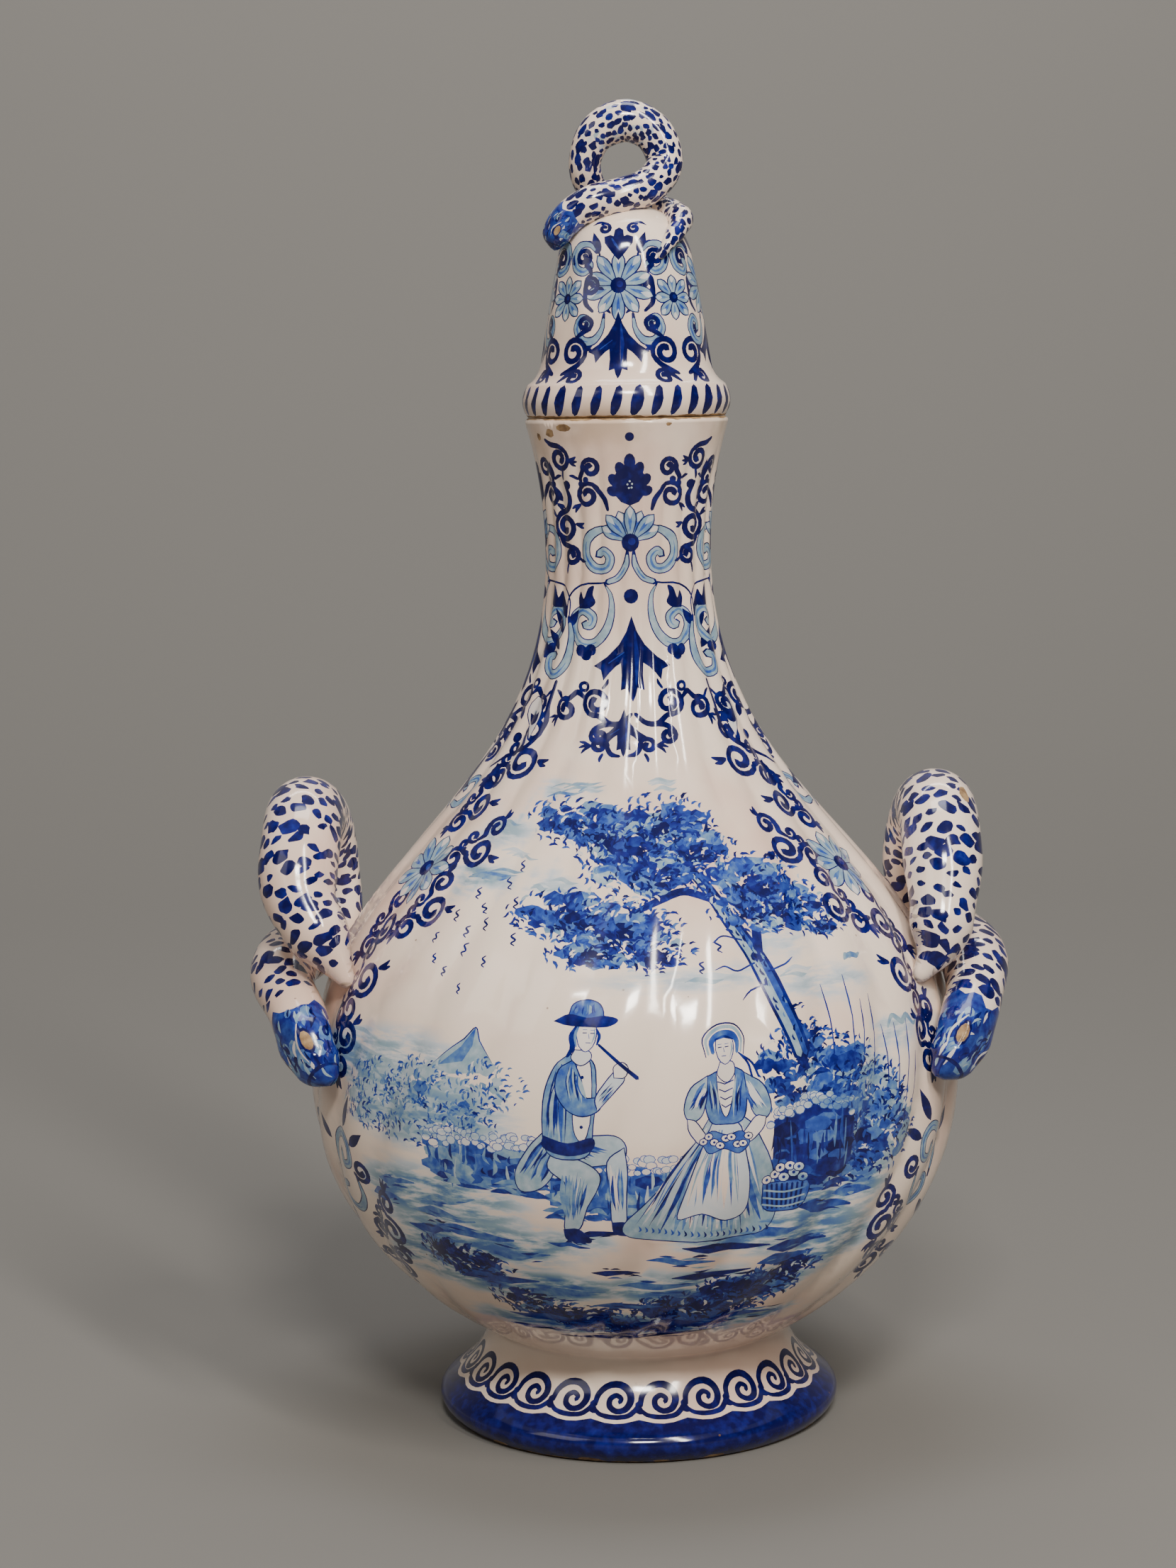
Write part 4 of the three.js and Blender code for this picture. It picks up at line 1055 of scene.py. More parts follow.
def paintBack(skin, rng):
    for az, z, r in ((180, 196, 22), (168, 150, 17), (193, 146, 18), (181, 108, 15)):
        daisy(skin, spotOn(skin, az if az <= 180 else az - 360, z), 0, 0, r, 12)
    stems = [[(180, 84), (178, 120), (181, 160), (180, 190)], [(180, 90), (172, 120), (168, 145)],
             [(180, 96), (188, 120), (193, 140)]]
    for stem in stems:
        path = np.array([(math.radians(az - 180), skin["runAt"](z)) for az, z in stem])
        path[:, 0] = path[:, 0] * skin["unit"] + math.pi * skin["unit"]
        brush(skin, smoothLine(path, 8), 1.2, 0.9, (1, 0.4))
    for az, z, lean in ((172, 118, 50), (188, 124, -50), (176, 134, 30), (184, 142, -35), (177, 168, 40),
                        (184, 174, -40), (166, 128, 80), (196, 128, -80)):
        at = spotOn(skin, az if az <= 180 else az - 360, z)
        leaf(skin, at, 0, 0, 15, 5, lean, 0.92)
        leaf(skin, at, 0, -3, 11, 4, lean * 1.6, 0.7)
    for az, z, lean in ((150, 182, 30), (-150, 182, -30), (152, 120, 90), (-152, 120, -90), (158, 78, 0),
                        (-158, 78, 0), (160, 214, 20), (-160, 214, -20)):
        sprig(skin, spotOn(skin, az, z, lean, 0.95, 1 if az > 0 else -1), 0.93)
    for _ in range(26):
        az = 180 + rng.uniform(-34, 34)
        at = spotOn(skin, az if az <= 180 else az - 360, 78 + rng.uniform(-12, 10))
        length = rng.uniform(12, 26)
        stroke(skin, at, [(-length / 2, 0), (0, rng.uniform(0, 1.4)), (length / 2, 0)], rng.uniform(1, 3),
               rng.choice((0.4, 0.6, 0.85)), (0.1, 0.1), pieces=5)


footArt = {"scrolls": 24, "scrollHeight": 21.4, "borderTop": 14.9, "scallop": 1.9}


def paintFoot(skin, a):
    half = skin["unit"] * math.pi
    top = skin["runAt"](a["borderTop"])
    low = skin["runAt"](0.3)
    phases = np.linspace(-half, half, a["scrolls"] * 10 + 1)
    edge = [(u, top + a["scallop"] * (0.75 - abs(math.sin(a["scrolls"] * (u + half) / half * math.pi / 2))))
            for u in phases]
    fill(skin, [(-half, low)] + [(u, low) for u in phases[1:]] + edge[::-1], 0.97)
    pitch = 360 / a["scrolls"]
    for i in range(a["scrolls"]):
        azimuth = -180 + (i + 0.5) * pitch
        at = spotOn(skin, azimuth, a["scrollHeight"])
        # a thick crest over the curl, the curl itself and a tail that runs under the next
        crest = [(-8.4, -2.0), (-7.0, 2.6), (-3.4, 5.9), (1.2, 6.4), (4.6, 4.0), (5.6, 0.2), (3.8, -3.4), (0.4, -4.4),
                 (-2.4, -2.4), (-2.4, 0.6), (-0.2, 2.2), (1.8, 1.0), (1.4, -0.6)]
        fill(skin, at([(-8.4, -1.2), (-7.4, -3.6), (-5.2, -5.4), (-9.0, -5.6), (-12, -4), (-9.6, -2.8)]),
             0.97)
        stroke(skin, at, crest, 3.0, 0.99, (0.7, 0.6), 0.8, pieces=5)
        tail = [(-8.8, -3.0), (-6.0, -5.9), (-0.4, -7.0), (5.0, -6.2), (8.2, -3.0), (8.4, -1.0)]
        stroke(skin, at, tail, 2.2, 0.97, (0.6, 0.9))


panelWash = {
    # azimuth, height, half width and half height in mm, strength
    "patches": [(-24, 258, 16, 4, 0.3), (-40, 243, 14, 7, 0.3), (-40, 228, 18, 5, 0.4), (-22, 226, 18, 5, 0.22),
                (-45, 165, 40, 8, 0.32), (-58, 158, 34, 12, 0.4), (-40, 145, 46, 14, 0.42), (-38, 112, 44, 12, 0.5),
                (-30, 96, 46, 10, 0.55), (-22, 78, 40, 9, 0.62), (26, 100, 44, 10, 0.55), (36, 116, 30, 14, 0.55),
                (14, 78, 46, 10, 0.6), (0, 60, 70, 8, 0.72), (-44, 84, 24, 12, 0.5), (38, 92, 26, 12, 0.5),
                (12, 195, 40, 5, 0.22), (38, 190, 24, 6, 0.26), (52, 168, 14, 6, 0.3), (40, 145, 26, 22, 0.5),
                (30, 205, 16, 8, 0.2), (-12, 100, 20, 5, 0.35), (180, 78, 60, 10, 0.45), (-180, 78, 60, 10, 0.45)],
}


def washOver(skin, patches):
    def washAt(u, v):
        total = np.zeros(len(u))
        scale = skin["radiusAt"](v) / skin["unit"]
        for az, z, wide, high, strength in patches:
            x = (u - math.radians(az) * skin["unit"]) * scale / wide
            y = (v - skin["runAt"](z)) / high
            total = np.maximum(total, strength * np.clip(1.25 - (x * x + y * y), 0, 1))
        return total
    return washAt


chipSpots = {"neck": [(-50, 392.5, 2.6, 1.7), (-38, 394.5, 3.6, 1.6), (-62, 391, 1.6, 1.6), (24, 395.6, 1.2, 0.8)],
             "foot": [(-14, 1.6, 5.5, 1.1), (6, 1.2, 3.4, 0.9), (22, 1.5, 4.6, 1.0), (-44, 1.7, 4.2, 1.2),
                      (60, 1.6, 4, 1)]}


def chip(skin, rng, azimuth, height, wide, high):
    at = spotOn(skin, azimuth, height)
    edge = [(wide * math.cos(a) * rng.uniform(0.75, 1.15), high * math.sin(a) * rng.uniform(0.75, 1.15))
            for a in np.linspace(0, turn, 9, endpoint=False)]
    fill(skin, at(edge), 0, 1)


vaseMesh = {"columns": 144, "neckColumns": 120, "neckRadius": 52, "insideColumns": 72,
            "underRows": 9, "footRows": 30, "bodyRows": 84, "rimRows": 6, "rim": 6, "insideRows": 42}
# metres: the band of bare clay where the lid sits, and the heights between which the glaze is stained
vaseGlaze = {"seatBand": (0.3975, 0.3995), "footRing": True, "stain": (0.370, 0.398)}


def makeVase(m):
    d = vaseSizes
    skin = vaseSkin(d)
    rng = random.Random(11)
    paintHill(skin, rng)
    paintSky(skin, rng)
    paintBushes(skin, rng)
    paintTree(skin, rng)
    paintGround(skin, rng)
    paintBank(skin, rng)
    paintShepherd(skin, shepherdArt)
    paintGatherer(skin, gathererArt)
    paintBack(skin, rng)
    paintShoulders(skin, shoulderArt)
    paintNeck(skin, neckArt)
    paintFoot(skin, footArt)
    for spots in chipSpots.values():
        for az, z, wide, high in spots:
            chip(skin, rng, az, z, wide, high)
    skin["washAt"] = washOver(skin, panelWash["patches"])
    s, r = skin["profile"]["s"], skin["profile"]["r"]
    low, high = skin["outside"]
    stem, neckTop = skin["runAt"](d["stemHeight"]), skin["runAt"](d["rimHeight"] - m["rim"])
    rows = np.unique(np.concatenate([
        np.linspace(0, low, m["underRows"]), np.linspace(low, stem, m["footRows"]),
        np.linspace(stem, neckTop, m["bodyRows"]), np.linspace(neckTop, high, m["rimRows"]),
        np.linspace(high, s[-1], m["insideRows"])]))

    def columnsAt(v):
        if not low - 1 < v < high + 1:
            return m["insideColumns"]
        return m["columns"] if r[np.searchsorted(s, v)] > m["neckRadius"] else m["neckColumns"]

    return rollUp(skin, "vase_body", rows.tolist(), columnsAt, vasePlace(skin, d))


vase = makeVase(vaseMesh)
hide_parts("vase")
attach(vase, "root")
vase.data.materials.append(tinGlaze("vase glaze", **vaseGlaze))


# snakes: a tube along a smooth route, with its own girth, spotted with the brush

def centripetal(points, pieces=24):
    p = np.array(points, float)
    p = np.vstack([2 * p[0] - p[1], p, 2 * p[-1] - p[-2]])
    out = []
    for i in range(1, len(p) - 2):
        a, b, c, d = p[i - 1:i + 3]
        t0 = 0.0
        t1 = t0 + np.linalg.norm(b - a) ** 0.5
        t2 = t1 + np.linalg.norm(c - b) ** 0.5
        t3 = t2 + np.linalg.norm(d - c) ** 0.5
        t = np.linspace(t1, t2, pieces, endpoint=False)[:, None]
        ab = (t1 - t) / (t1 - t0) * a + (t - t0) / (t1 - t0) * b
        bc = (t2 - t) / (t2 - t1) * b + (t - t1) / (t2 - t1) * c
        cd = (t3 - t) / (t3 - t2) * c + (t - t2) / (t3 - t2) * d
        abc = (t2 - t) / (t2 - t0) * ab + (t - t0) / (t2 - t0) * bc
        bcd = (t3 - t) / (t3 - t1) * bc + (t - t1) / (t3 - t1) * cd
        out.append((t2 - t) / (t2 - t1) * abc + (t - t1) / (t2 - t1) * bcd)
    return np.vstack(out + [p[-2:-1]])


def stepped(pairs, share):
    xs, ys = np.array(pairs).T
    i = np.clip(np.searchsorted(xs, share, side="right") - 1, 0, len(xs) - 2)
    t = np.clip((share - xs[i]) / (xs[i + 1] - xs[i]), 0, 1)
    return ys[i] + (ys[i + 1] - ys[i]) * t * t * (3 - 2 * t)


def snakeSkin(route, girths, unit, capStart=4.0, capEnd=7.0):
    line = centripetal(route)
    along = np.r_[0, np.cumsum(np.linalg.norm(np.diff(line, axis=0), axis=1))]
    length = along[-1]
    s = np.linspace(0, length, 400)
    centre = np.column_stack([np.interp(s, along, line[:, i]) for i in range(3)])
    t = np.gradient(centre, axis=0)
    t /= np.linalg.norm(t, axis=1)[:, None]
    side = np.empty_like(t)
    side[0] = np.cross(t[0], (0, 0, 1))
    side[0] /= np.linalg.norm(side[0])
    for i in range(1, len(t)):
        side[i] = side[i - 1] - t[i] * np.dot(side[i - 1], t[i])
        side[i] /= np.linalg.norm(side[i])
    up = np.cross(t, side)
    r = stepped(girths, s / length)
    r = r * np.sqrt(np.clip(1 - (np.clip(capStart - s, 0, capStart) / capStart) ** 2, 0, 1))
    r = r * np.sqrt(np.clip(1 - (np.clip(s - length + capEnd, 0, capEnd) / capEnd) ** 2, 0, 1))
    r = np.maximum(r, 0.01)
    return {"unit": unit, "marks": [], "length": length, "s": s, "centre": centre, "side": side, "up": up,
            "r": r, "tangent": t, "radiusAt": lambda v: np.interp(v, s, r), "runAt": lambda h: float(h)}


def snakePlace(skin, headShape=None):
    def along(key, v):
        return np.column_stack([np.interp(v, skin["s"], skin[key][:, i]) for i in range(3)])

    def place(u, v):
        a = u / skin["unit"]
        r = np.interp(v, skin["s"], skin["r"])
        if headShape:
            r = r * headShape(a, v)
        out = along("side", v) * np.cos(a)[:, None] + along("up", v) * np.sin(a)[:, None]
        return along("centre", v) - out * r[:, None]
    return place


def angleTowards(skin, v, direction):
    # the angle round the tube at which its surface looks in a direction
    i = int(np.argmin(np.abs(skin["s"] - v)))
    d = -np.array(direction, float)
    return math.atan2(np.dot(d, skin["up"][i]), np.dot(d, skin["side"][i]))


def paintSpots(skin, rng, start, end, gap, size, stretch):
    v = start
    row = 0
    while v < end:
        r = float(skin["radiusAt"](v))
        around = max(3, round(turn * r / (gap * 1.15)))
        for i in range(around):
            a = (i + 0.5 * (row % 2) + rng.uniform(-0.24, 0.24)) / around * turn - math.pi
            at = spotOn(skin, math.degrees(a), v + rng.uniform(-0.28, 0.28) * gap, rng.uniform(-28, 28))
            w = size * rng.uniform(0.62, 1.2)
            h = w / stretch * rng.uniform(0.85, 1.25)
            if rng.random() < 0.10:
                w, h = w * 1.5, h * 1.35
            edge = ring(0, 0, w / 2, h / 2, 9) * np.array([[rng.uniform(0.72, 1.25), rng.uniform(0.72, 1.25)]
                                                          for _ in range(9)])
            fill(skin, at(smoothLine(list(edge) + [edge[0]], 2)[:-1]), rng.choice((1.0, 1.0, 0.97, 0.9)))
        v += gap * 0.86
        row += 1


def paintCreviceBrown(skin, rng, axis):
    # brown touches in the glaze in the crevices where the coils meet and where they join the body
    s, c = skin["s"], skin["centre"]
    gap = np.linalg.norm(c[:, None] - c[None], axis=2) + 1e6 * (np.abs(s[:, None] - s[None]) < 60)
    i, j = np.unravel_index(np.argmin(gap), gap.shape)
    spots = [(s[i], c[j] - c[i]), (s[j], c[i] - c[j])]
    spots += [(v, axis - c[np.argmin(np.abs(s - v))]) for v in (14, 22, s[-1] - 44)]
    for v, towards in spots:
        a = angleTowards(skin, v, towards * (1, 1, 0.1))
        for _ in range(30):
            at = spotOn(skin, math.degrees(a + rng.uniform(-0.9, 0.9)), v + rng.uniform(-9, 9),
                        rng.uniform(-30, 30))
            run = rng.uniform(2, 7)
            path = [(-run / 2, 0), (0, rng.uniform(-0.7, 0.7)), (run / 2, 0)]
            brush(skin, at(smoothLine(path, 3)), rng.uniform(0.6, 2.0), 0.05, (0.3, 0.2), 1.0,
                  rng.choice((0.2, 0.3, 0.5)))


def paintHead(skin, rng, outAngle):
    # the head: a mottled blue cap, darker strokes along it, and on each cheek an eye that has lost its glaze, with a
    # pale painted highlight line along one side of it
    length, r = skin["length"], skin["unit"]
    reach = 2.5 * r
    start = length - reach
    half = skin["unit"] * math.pi
    ragged = [(u, start + rng.uniform(-0.2, 0.34) * r) for u in np.linspace(-half, half, 23)]
    ragged[-1] = (half, ragged[0][1])
    fill(skin, ragged + [(half, length), (-half, length)], 0.75)
    for i in range(120):
        a = rng.uniform(-math.pi, math.pi)
        v = rng.uniform(start + 0.3 * r, length - 0.2 * r)
        at = spotOn(skin, math.degrees(a), v, rng.uniform(-30, 30))
        if i < 46:
            x = rng.uniform(0.1, 0.3) * r
            dot(skin, at, 0, 0, x * 0.8, rng.choice((0.6, 0.95, 0.85, 0.45)), x, 8)
        run = rng.uniform(0.16, 0.5) * r
        stroke(skin, at, [(-0.2 * run, -run / 2), (rng.uniform(-0.6, 0.6), 0), (0, run / 2)],
               rng.uniform(0.04, 0.12) * r, rng.choice((1.0, 0.95, 0.9, 0.45, 0.3, 0.1)), (0.3, 0.2))
    for cheek in (1, -1):
        a = outAngle + cheek * 0.95
        at = spotOn(skin, math.degrees(a), length - 1.2 * r)
        edge = ring(0, 0, 0.15 * r, 0.27 * r, 10)
        fill(skin, at(edge * 1.35), 0.95)
        fill(skin, at(edge), 0, 1)
        # the pale stroke along the side of each eye is a painted highlight
        brow = [(-0.1 * r, -0.5 * r), (0.16 * r, 0.0), (0.08 * r, 0.5 * r)]
        brush(skin, at(smoothLine(brow, 4) + (0.16 * r, 0)), 0.07 * r, 0.1, (0.5, 0.3))
    mouth = spotOn(skin, math.degrees(outAngle), length - 0.35 * r)
    stroke(skin, mouth, [(-1.0 * r, 0.1 * r), (-0.4 * r, -0.12 * r), (0.4 * r, -0.12 * r),
                         (1.0 * r, 0.1 * r)], 0.08 * r, 0.97, (0.4, 0.4))


handleSizes = {"height": 90, "seatHeight": 184, "thickness": 31.2, "columns": 56, "rowGap": 1.9, "headReach": 30}
hands = {"handle_right": {"side": 1, "leanOut": 0, "crossingOut": -3, "seed": 3},
         "handle_left": {"side": -1, "leanOut": 9, "crossingOut": 0.5, "seed": 8}}


def wallRadius(z):
    wall = np.vstack(bodyRuns(vaseSizes))
    return float(np.interp(z, wall[:, 1], wall[:, 0]))


def handleRoute(h, hand):
    side, size, base = hand["side"], h["height"], h["seatHeight"]
    seat = wallRadius(base)

    def out(x, y, z, extra):
        return (side * (seat + x * size + extra), y * size, base + z * size)

    def coil(x, y, z):
        return out(x, y, z, hand["leanOut"] * min(1, z / 0.33))

    def crossing(x, y, z):
        return out(x, y, z, hand["crossingOut"])

    def onWall(angle, dz, lift):
        z = base + dz * size
        r = wallRadius(z) + lift * size
        a = math.radians(angle)
        return (side * r * math.cos(a), -r * math.sin(a), z)

    return [onWall(24, -0.03, -0.02), onWall(20.5, 0.11, 0.115), coil(0.01, -0.37, 0.34),
            coil(0.015, -0.2, 0.565), coil(0.015, 0.03, 0.64), coil(0, 0.25, 0.555), coil(-0.025, 0.35, 0.33),
            coil(0.02, 0.3, 0.13), crossing(0.13, 0.15, 0.04), crossing(0.2, -0.05, 0),
            crossing(0.195, -0.27, -0.06), onWall(18, -0.15, 0.14), onWall(23.5, -0.25, 0.11),
            onWall(27.5, -0.345, 0.07), onWall(30, -0.4, 0.03)]


def headForm(skin, outAngle, reach):
    # broad jaws, a flatter crown and a brow over each eye
    length = skin["length"]

    def shape(a, v):
        near = np.clip((v - (length - reach)) / reach, 0, 1)
        bump = np.sin(math.pi * np.clip(near * 1.15, 0, 1))
        b = a - outAngle
        jaw = 0.10 * np.cos(2 * (b - math.pi / 2))
        brow = 0.12 * (np.exp(-((np.mod(b - 0.8 + math.pi, turn) - math.pi) / 0.3) ** 2)
                       + np.exp(-((np.mod(b + 0.8 + math.pi, turn) - math.pi) / 0.3) ** 2))
        return 1 + bump * (jaw + brow)
    return shape


def makeHandle(name, h, hand):
    r = h["thickness"] / 2
    girths = [(0, 0.2 * r), (0.1, 0.8 * r), (0.2, r), (0.42, r), (0.58, 0.9 * r), (0.74, 0.84 * r),
              (0.84, 0.71 * r), (0.91, 0.7 * r), (0.96, 0.58 * r), (1, 0.32 * r)]
    skin = snakeSkin(handleRoute(h, hand), girths, r * 0.85)
    rng = random.Random(hand["seed"])
    tip = handleRoute(h, hand)[-2]
    outAngle = angleTowards(skin, skin["length"] - 14, (tip[0], tip[1] * 1.3, 10))
    paintSpots(skin, rng, 10, skin["length"] - 36, 6.2, 6.6, 1.7)
    paintCreviceBrown(skin, rng, np.array([0, 0, 200.0]))
    paintHead(skin, rng, outAngle)
    if hand["side"] > 0:  # a flake of glaze is gone at the top of this one
        top = int(np.argmax(skin["centre"][:, 2]))
        a = angleTowards(skin, skin["s"][top - 22], (0.75, -0.5, 0.9))
        chip(skin, rng, math.degrees(a), skin["s"][top - 22], 2.4, 4.2)
    rows = np.linspace(0, skin["length"], int(skin["length"] / h["rowGap"])).tolist()
    piece = rollUp(skin, name, rows, lambda v: h["columns"],
                   snakePlace(skin, headForm(skin, outAngle, h["headReach"])))
    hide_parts("vase")
    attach(piece, "root")
    piece.data.materials.append(tinGlaze(name + " glaze"))


for name, hand in hands.items():
    makeHandle(name, handleSizes, hand)


# the lid

lidSizes = {"seat": 398.3, "height": 82.2, "seatRadius": 38.6, "beadRadius": 40.8, "beadHeight": 12.7,
            "waistRadius": 32, "waistHeight": 25.7, "shoulderRadius": 26.4, "shoulderHeight": 60.7, "wall": 5,
            "collarDepth": 9, "collarWall": 4, "collarOutside": 29.8}


def lidSkin(d):
    base = d["seat"]
    bead = bezierRun([(d["seatRadius"], 0), (d["beadRadius"] * 2 - d["seatRadius"], d["beadHeight"] * 0.45),
                      (d["seatRadius"], d["beadHeight"])], 24)
    waist = bezierRun([(d["seatRadius"], d["beadHeight"]), (d["waistRadius"] + 1.6, d["beadHeight"] + 2.5),
                       (d["waistRadius"], d["waistHeight"])], 20)
    bell = bezierRun([(d["waistRadius"], d["waistHeight"]), (d["waistRadius"] - 1, d["waistHeight"] + 10),
                      (d["shoulderRadius"] + 2.2, d["shoulderHeight"] - 13),
                      (d["shoulderRadius"], d["shoulderHeight"])], 30)
    dome = bezierRun([(d["shoulderRadius"], d["shoulderHeight"]),
                      (d["shoulderRadius"] - 1.4, d["shoulderHeight"] + 11),
                      (d["shoulderRadius"] * 0.6, d["height"]), (0.01, d["height"])], 30)
    inside = d["collarOutside"] - d["collarWall"]
    hollow = [(0.01, d["height"] - d["wall"] - 2), (d["shoulderRadius"] * 0.5, d["height"] - d["wall"] - 4),
              (d["shoulderRadius"] - d["wall"], d["shoulderHeight"]), (inside, d["waistHeight"]),
              (inside, -d["collarDepth"]), (d["collarOutside"] - 1, -d["collarDepth"]),
              (d["collarOutside"], -d["collarDepth"] + 1), (d["collarOutside"], 0)]
    profile = profileOf(hollow, bead, waist, bell, dome)
    s, r, z = profile["s"], profile["r"], profile["z"] + base
    profile["z"] = z
    first = int(np.argmax((np.abs(z - base) < 0.01) & (r > d["seatRadius"] - 0.01)))
    return {"unit": d["waistRadius"], "marks": [], "profile": profile, "outside": (s[first], s[-1]),
            "radiusAt": lambda v: np.maximum(np.interp(v, s, r), 0.4),
            "runAt": lambda h: float(np.interp(h, z[first:], s[first:]))}


lidArt = {"panels": 4, "front": -5, "daisy": 448.2, "daisyRadius": 14.2, "heart": 463.5, "arrow": 425,
          "beadStrokes": 32, "beadHeight": 404.6}


def paintLid(skin, a):
    for panel in range(a["panels"]):
        azimuth = a["front"] + panel * 360 / a["panels"]
        middle = azimuth + 180 / a["panels"]
        for side in (1, -1):
            top = spotOn(skin, azimuth, a["heart"], 0, 1, side)
            curl(skin, top, 5.6, 7.2, 2.4, 60, 1.2, 1, 1.3, 0.97)
            stroke(skin, top, [(4.6, 9.8), (8.0, 10.2), (10.6, 8.6)], 1.3, 0.97)
            leaf(skin, top, 7.6, -3.6, 9.5, 3.8, -16, 0.98)
            stroke(skin, top, [(7.4, -7), (7.6, -3), (11, 1.4), (16, 1.6)], 0.8, 0.93, pieces=5)
            scroll(skin, top, [(8.6, -3), (11.4, 0.2), (15.8, 0.2), (18.8, -3.4), (18, -8.4), (14.2, -10.2),
                               (11.6, -7.8), (13.2, -5.4)], 3.7, 0.34)
            low = spotOn(skin, azimuth, 429, 0, 1, side)
            scroll(skin, low, [(5.6, 8.6), (6.6, 2.6), (10.0, -1.6), (14.6, -1.4), (17.0, 3), (14.8, 7),
                               (11.4, 5.4), (12.4, 2.6)], 3.6, 0.34)
            stroke(skin, low, [(3.0, 8.8), (5.4, 10.6), (8, 9.4)], 1.6, 0.97)
            # dark curls between the panels
            between = spotOn(skin, middle, 423, 0, 1, side)
            curl(skin, between, 6.6, 0.0, 5.7, -60, 1.5, 1, 1.9, 0.98, [(2.6, -8.8), (5.4, -7.4)])
            curl(skin, between, 9.6, -10.4, 3.4, 150, 1.25, -1, 1.7, 0.98, [(3.4, -12.6), (5.2, -10)])
            curl(skin, between, 10.6, 10.8, 3.0, -90, 1.3, 1, 1.6, 0.98, [(7.4, 5.8)])
            curl(skin, between, 11.0, 25.2, 3.4, 120, 1.3, -1, 1.6, 0.98, [(13.2, 15.6), (9.6, 19.5)])
            curl(skin, between, 6.4, 36.4, 3.3, -60, 1.35, 1, 1.6, 0.98, [(10.8, 29.6), (9.8, 32)])
            ticks(skin, between, 2.0, 34.0, 100, 1, 3.4)
            ticks(skin, between, 14.0, 24.4, -10, 1, 2.8)
            ticks(skin, between, 11.8, 1.0, 10, 2, 3.0)
        daisy(skin, spotOn(skin, azimuth, a["daisy"]), 0, 0, a["daisyRadius"], 10)
        daisy(skin, spotOn(skin, middle, 443.5), 0, 0, 9.6, 8)
        top = spotOn(skin, azimuth, a["heart"])
        fill(skin, top([(0, -6), (2.6, -3), (5.4, 0.8), (5.6, 3.4), (3.2, 4.2), (2.0, 3.6), (1.6, 6.4),
                        (0, 7.6), (-1.6, 6.4), (-2.0, 3.6), (-3.2, 4.2), (-5.6, 3.4), (-5.4, 0.8),
                        (-2.6, -3)]), 0.99)
        brush(skin, top([(-2.6, 2.6), (-1.2, 0.2), (0.6, -2.2)]), 1.0, 0.72, (0.5, 0.3))
        arrowLeaf(skin, spotOn(skin, azimuth, a["arrow"]), 0, 1.0, 13.4)
    for i in range(a["beadStrokes"]):
        at = spotOn(skin, (i + 0.5) * 360 / a["beadStrokes"] - 180, a["beadHeight"], -14)
        stroke(skin, at, [(0, -5.2), (0.3, 0), (0, 5.2)], 3.9 if i % 4 else 4.8, 0.99 if i % 3 else 0.93,
               (0.55, 0.65))


lidMesh = {"columns": 128, "insideColumns": 64, "insideRows": 26, "bellRows": 66, "domeRows": 18, "domeFrom": 72}
lidGlaze = {"seatBand": (0.380, 0.3990), "stain": (0.408, 0.399)}  # metres


def makeLid(d, m):
    skin = lidSkin(d)
    paintLid(skin, lidArt)
    s, r, z = (skin["profile"][k] for k in "srz")
    low, high = skin["outside"]

    def place(u, v):
        angle = u / skin["unit"]
        rr, zz = np.interp(v, s, r), np.interp(v, s, z)
        calm = np.clip((zz - d["seat"] - 22) / 12, 0, 1) * np.clip((d["seat"] + 66 - zz) / 10, 0, 1)
        rr = rr + 0.28 * np.cos(angle * 12 + zz * 0.06) * calm * (v > low)
        return np.column_stack([rr * np.sin(angle), -rr * np.cos(angle), zz])

    domeRun = skin["runAt"](d["seat"] + m["domeFrom"])
    rows = np.unique(np.concatenate([
        np.linspace(0, low, m["insideRows"]), np.linspace(low, domeRun, m["bellRows"]),
        np.linspace(domeRun, high, m["domeRows"])])).tolist()
    piece = rollUp(skin, "lid_bell", rows, lambda v: m["columns"] if v > low - 1 else m["insideColumns"], place)
    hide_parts("lid")
    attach(piece, "root")
    piece.data.materials.append(tinGlaze("lid glaze", **lidGlaze))


makeLid(lidSizes, lidMesh)

knobSizes = {"height": 43.5, "sink": 4, "thickness": 16.4, "seed": 5, "columns": 44, "rowGap": 1.0, "headReach": 14}


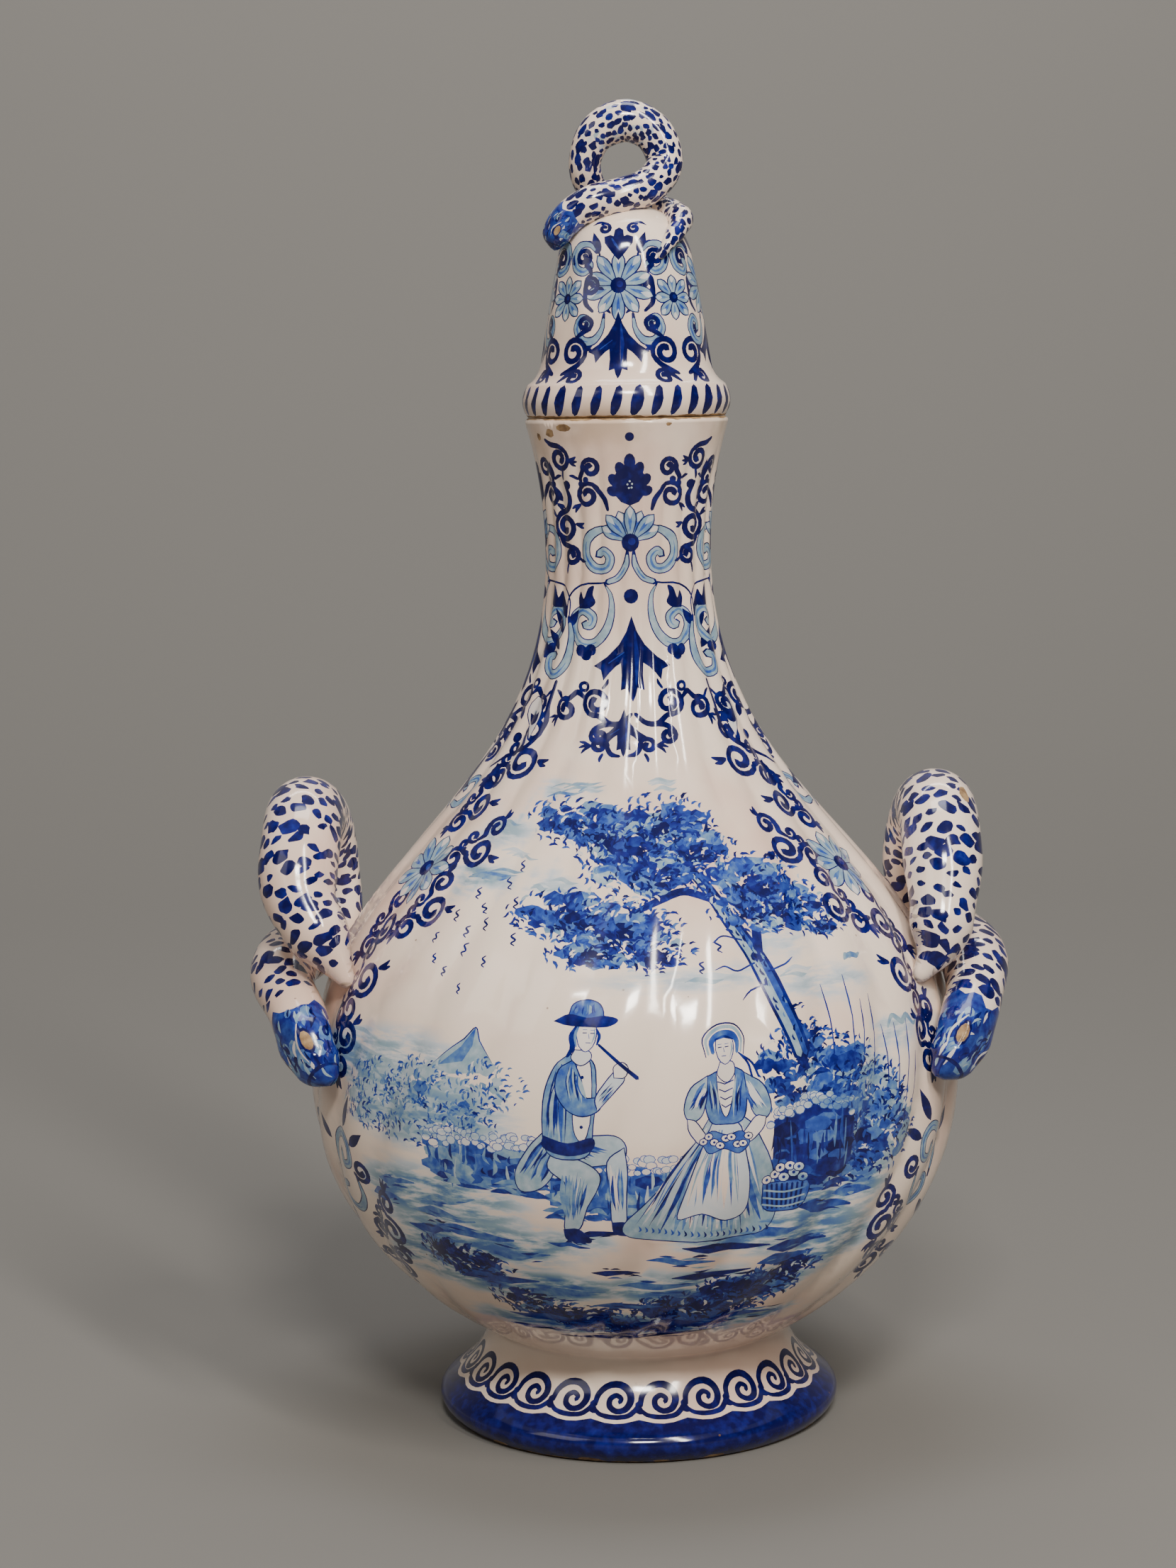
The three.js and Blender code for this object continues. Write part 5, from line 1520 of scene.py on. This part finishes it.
def makeKnob(k, d):
    h = k["height"]
    base = d["seat"] + d["height"] - k["sink"]
    shares = [(0.3, -0.53, -0.42), (0.4, -0.46, -0.27), (0.49, -0.27, -0.12), (0.46, 0, -0.02), (0.26, 0.2, 0.06),
              (0, 0.24, 0.09), (-0.25, 0.16, 0.19), (-0.345, 0.03, 0.43), (-0.24, 0, 0.7), (0.02, 0, 0.815),
              (0.27, -0.01, 0.7), (0.365, -0.05, 0.43), (0.22, -0.18, 0.23), (-0.03, -0.28, 0.14),
              (-0.28, -0.33, 0.08), (-0.47, -0.33, -0.03), (-0.585, -0.32, -0.18), (-0.62, -0.3, -0.33)]
    route = [(x * h, y * h, base + z * h) for x, y, z in shares]
    r = k["thickness"] / 2
    girths = [(0, 0.2 * r), (0.08, 0.45 * r), (0.14, 0.66 * r), (0.3, 0.66 * r), (0.42, 0.76 * r), (0.55, r),
              (0.7, 0.87 * r), (0.86, 0.84 * r), (0.93, 0.78 * r), (0.97, 0.68 * r), (1, 0.3 * r)]
    skin = snakeSkin(route, girths, r * 0.8, 2, 3.5)
    rng = random.Random(k["seed"])
    outAngle = angleTowards(skin, skin["length"] - 7, (-1, -0.6, 0.3))
    for _ in range(60):  # a thin blue wash over the top of the coil
        v = skin["s"][int(np.argmax(skin["centre"][:, 2]))] + rng.uniform(-16, 16)
        at = spotOn(skin, rng.uniform(-180, 180), v, rng.uniform(-40, 40))
        stroke(skin, at, [(0, -2), (rng.uniform(-0.4, 0.4), 0), (0, 2)], rng.uniform(0.8, 2.2),
               rng.uniform(0.08, 0.26), (0.3, 0.2), pieces=3)
    paintSpots(skin, rng, 3, skin["length"] - 17, 3.3, 2.75, 0.85)
    paintHead(skin, rng, outAngle)
    rows = np.linspace(0, skin["length"], int(skin["length"] / k["rowGap"])).tolist()
    piece = rollUp(skin, "lid_snake", rows, lambda v: k["columns"],
                   snakePlace(skin, headForm(skin, outAngle, k["headReach"])))
    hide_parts("lid")
    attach(piece, "root")
    piece.data.materials.append(tinGlaze("knob glaze"))


makeKnob(knobSizes, lidSizes)


# floor, light and camera

studio = {"floorRadius": 3.0, "bend": 1.7, "wallHeight": 2.6, "floorColor": (0.185, 0.178, 0.166, 1),
          "worldColor": (0.97, 0.96, 0.97, 1), "worldStrength": 0.34}


def makeFloor(s):
    bm = bmesh.new()
    profile = [(0.0, 0.0), (s["floorRadius"] - s["bend"], 0.0)]
    for i in range(1, 9):
        a = math.pi / 2 * i / 8
        profile.append((s["floorRadius"] - s["bend"] + s["bend"] * math.sin(a),
                        s["bend"] * (1 - math.cos(a))))
    profile.append((s["floorRadius"], s["wallHeight"]))
    verts = [bm.verts.new((x, 0, z)) for x, z in profile]
    edges = [bm.edges.new(pair) for pair in zip(verts, verts[1:])]
    bmesh.ops.spin(bm, geom=verts + edges, cent=(0, 0, 0), axis=(0, 0, 1), angle=turn, steps=72,
                   use_merge=True)
    bmesh.ops.remove_doubles(bm, verts=bm.verts, dist=1e-5)
    bmesh.ops.recalc_face_normals(bm, faces=bm.faces)
    mesh = bpy.data.meshes.new("floor")
    bm.to_mesh(mesh)
    bm.free()
    mesh.shade_smooth()
    floor = bpy.data.objects.new("floor", mesh)
    bpy.context.collection.objects.link(floor)
    m = bpy.data.materials.new("pale floor")
    m.use_nodes = True
    surface = m.node_tree.nodes["Principled BSDF"]
    surface.inputs["Base Color"].default_value = s["floorColor"]
    surface.inputs["Roughness"].default_value = 0.85
    surface.inputs["Specular IOR Level"].default_value = 0.1
    floor.data.materials.append(m)


makeFloor(studio)

lamps = { "key": {"at": (0.62, -1.15, 1.45), "size": (0.13, 1.0), "power": 23, "aim": (0, 0, 0.2),
                  "color": (1, 0.94, 0.86)}, "fill": {"at": (-1.2, -0.9, 1.3), "size": (0.9, 0.7),
                                                      "power": 3.5, "aim": (0, 0, 0.2),
                                                      "color": (1, 0.95, 0.88)},
         "top": {"at": (0.0, 0.3, 2.4), "size": (1.2, 0.7), "power": 18, "aim": (0, -0.2, 0),
                 "color": (0.96, 0.97, 1)}, "front": {"at": (0.1, -2.0, 1.9), "size": (0.5, 0.3), "power": 42,
                                                      "aim": (0, -0.6, 0), "color": (1, 0.96, 0.9)},
         "wall": {"at": (0.0, 2.0, 2.7), "size": (2.6, 0.4), "power": 64, "aim": (0, 3.0, 1.5),
                  "color": (1, 0.97, 0.93)}, }


def makeLamps(lampSet, s):
    for name, lamp in lampSet.items():
        data = bpy.data.lights.new(name, "AREA")
        data.shape = "RECTANGLE"
        data.size, data.size_y = lamp["size"]
        data.energy = lamp["power"]
        data.color = lamp["color"]
        light = bpy.data.objects.new(name, data)
        light.location = lamp["at"]
        light.rotation_euler = (Vector(lamp["aim"]) - Vector(lamp["at"])).to_track_quat("-Z", "Y").to_euler()
        bpy.context.collection.objects.link(light)
    world = bpy.data.worlds.new("studio")
    bpy.context.scene.world = world
    world.use_nodes = True
    world.node_tree.nodes["Background"].inputs["Color"].default_value = s["worldColor"]
    world.node_tree.nodes["Background"].inputs["Strength"].default_value = s["worldStrength"]


makeLamps(lamps, studio)

view = {"distance": 1.22813, "height": 0.41124, "pitch": 7.33, "yaw": 0.80, "roll": -0.82, "focal": 4391.94,
        "longSide": 2212}


def makeCamera(v):
    data = bpy.data.cameras.new("camera")
    data.sensor_fit = "AUTO"
    data.sensor_width = 36
    data.lens = 36 * v["focal"] / v["longSide"]
    camera = bpy.data.objects.new("camera", data)
    camera.matrix_world = (Matrix.Translation((0, -v["distance"], v["height"]))
                           @ Matrix.Rotation(math.radians(v["yaw"]), 4, "Z")
                           @ Matrix.Rotation(math.radians(90 - v["pitch"]), 4, "X")
                           @ Matrix.Rotation(math.radians(v["roll"]), 4, "Z"))
    bpy.context.collection.objects.link(camera)
    bpy.context.scene.camera = camera


makeCamera(view)
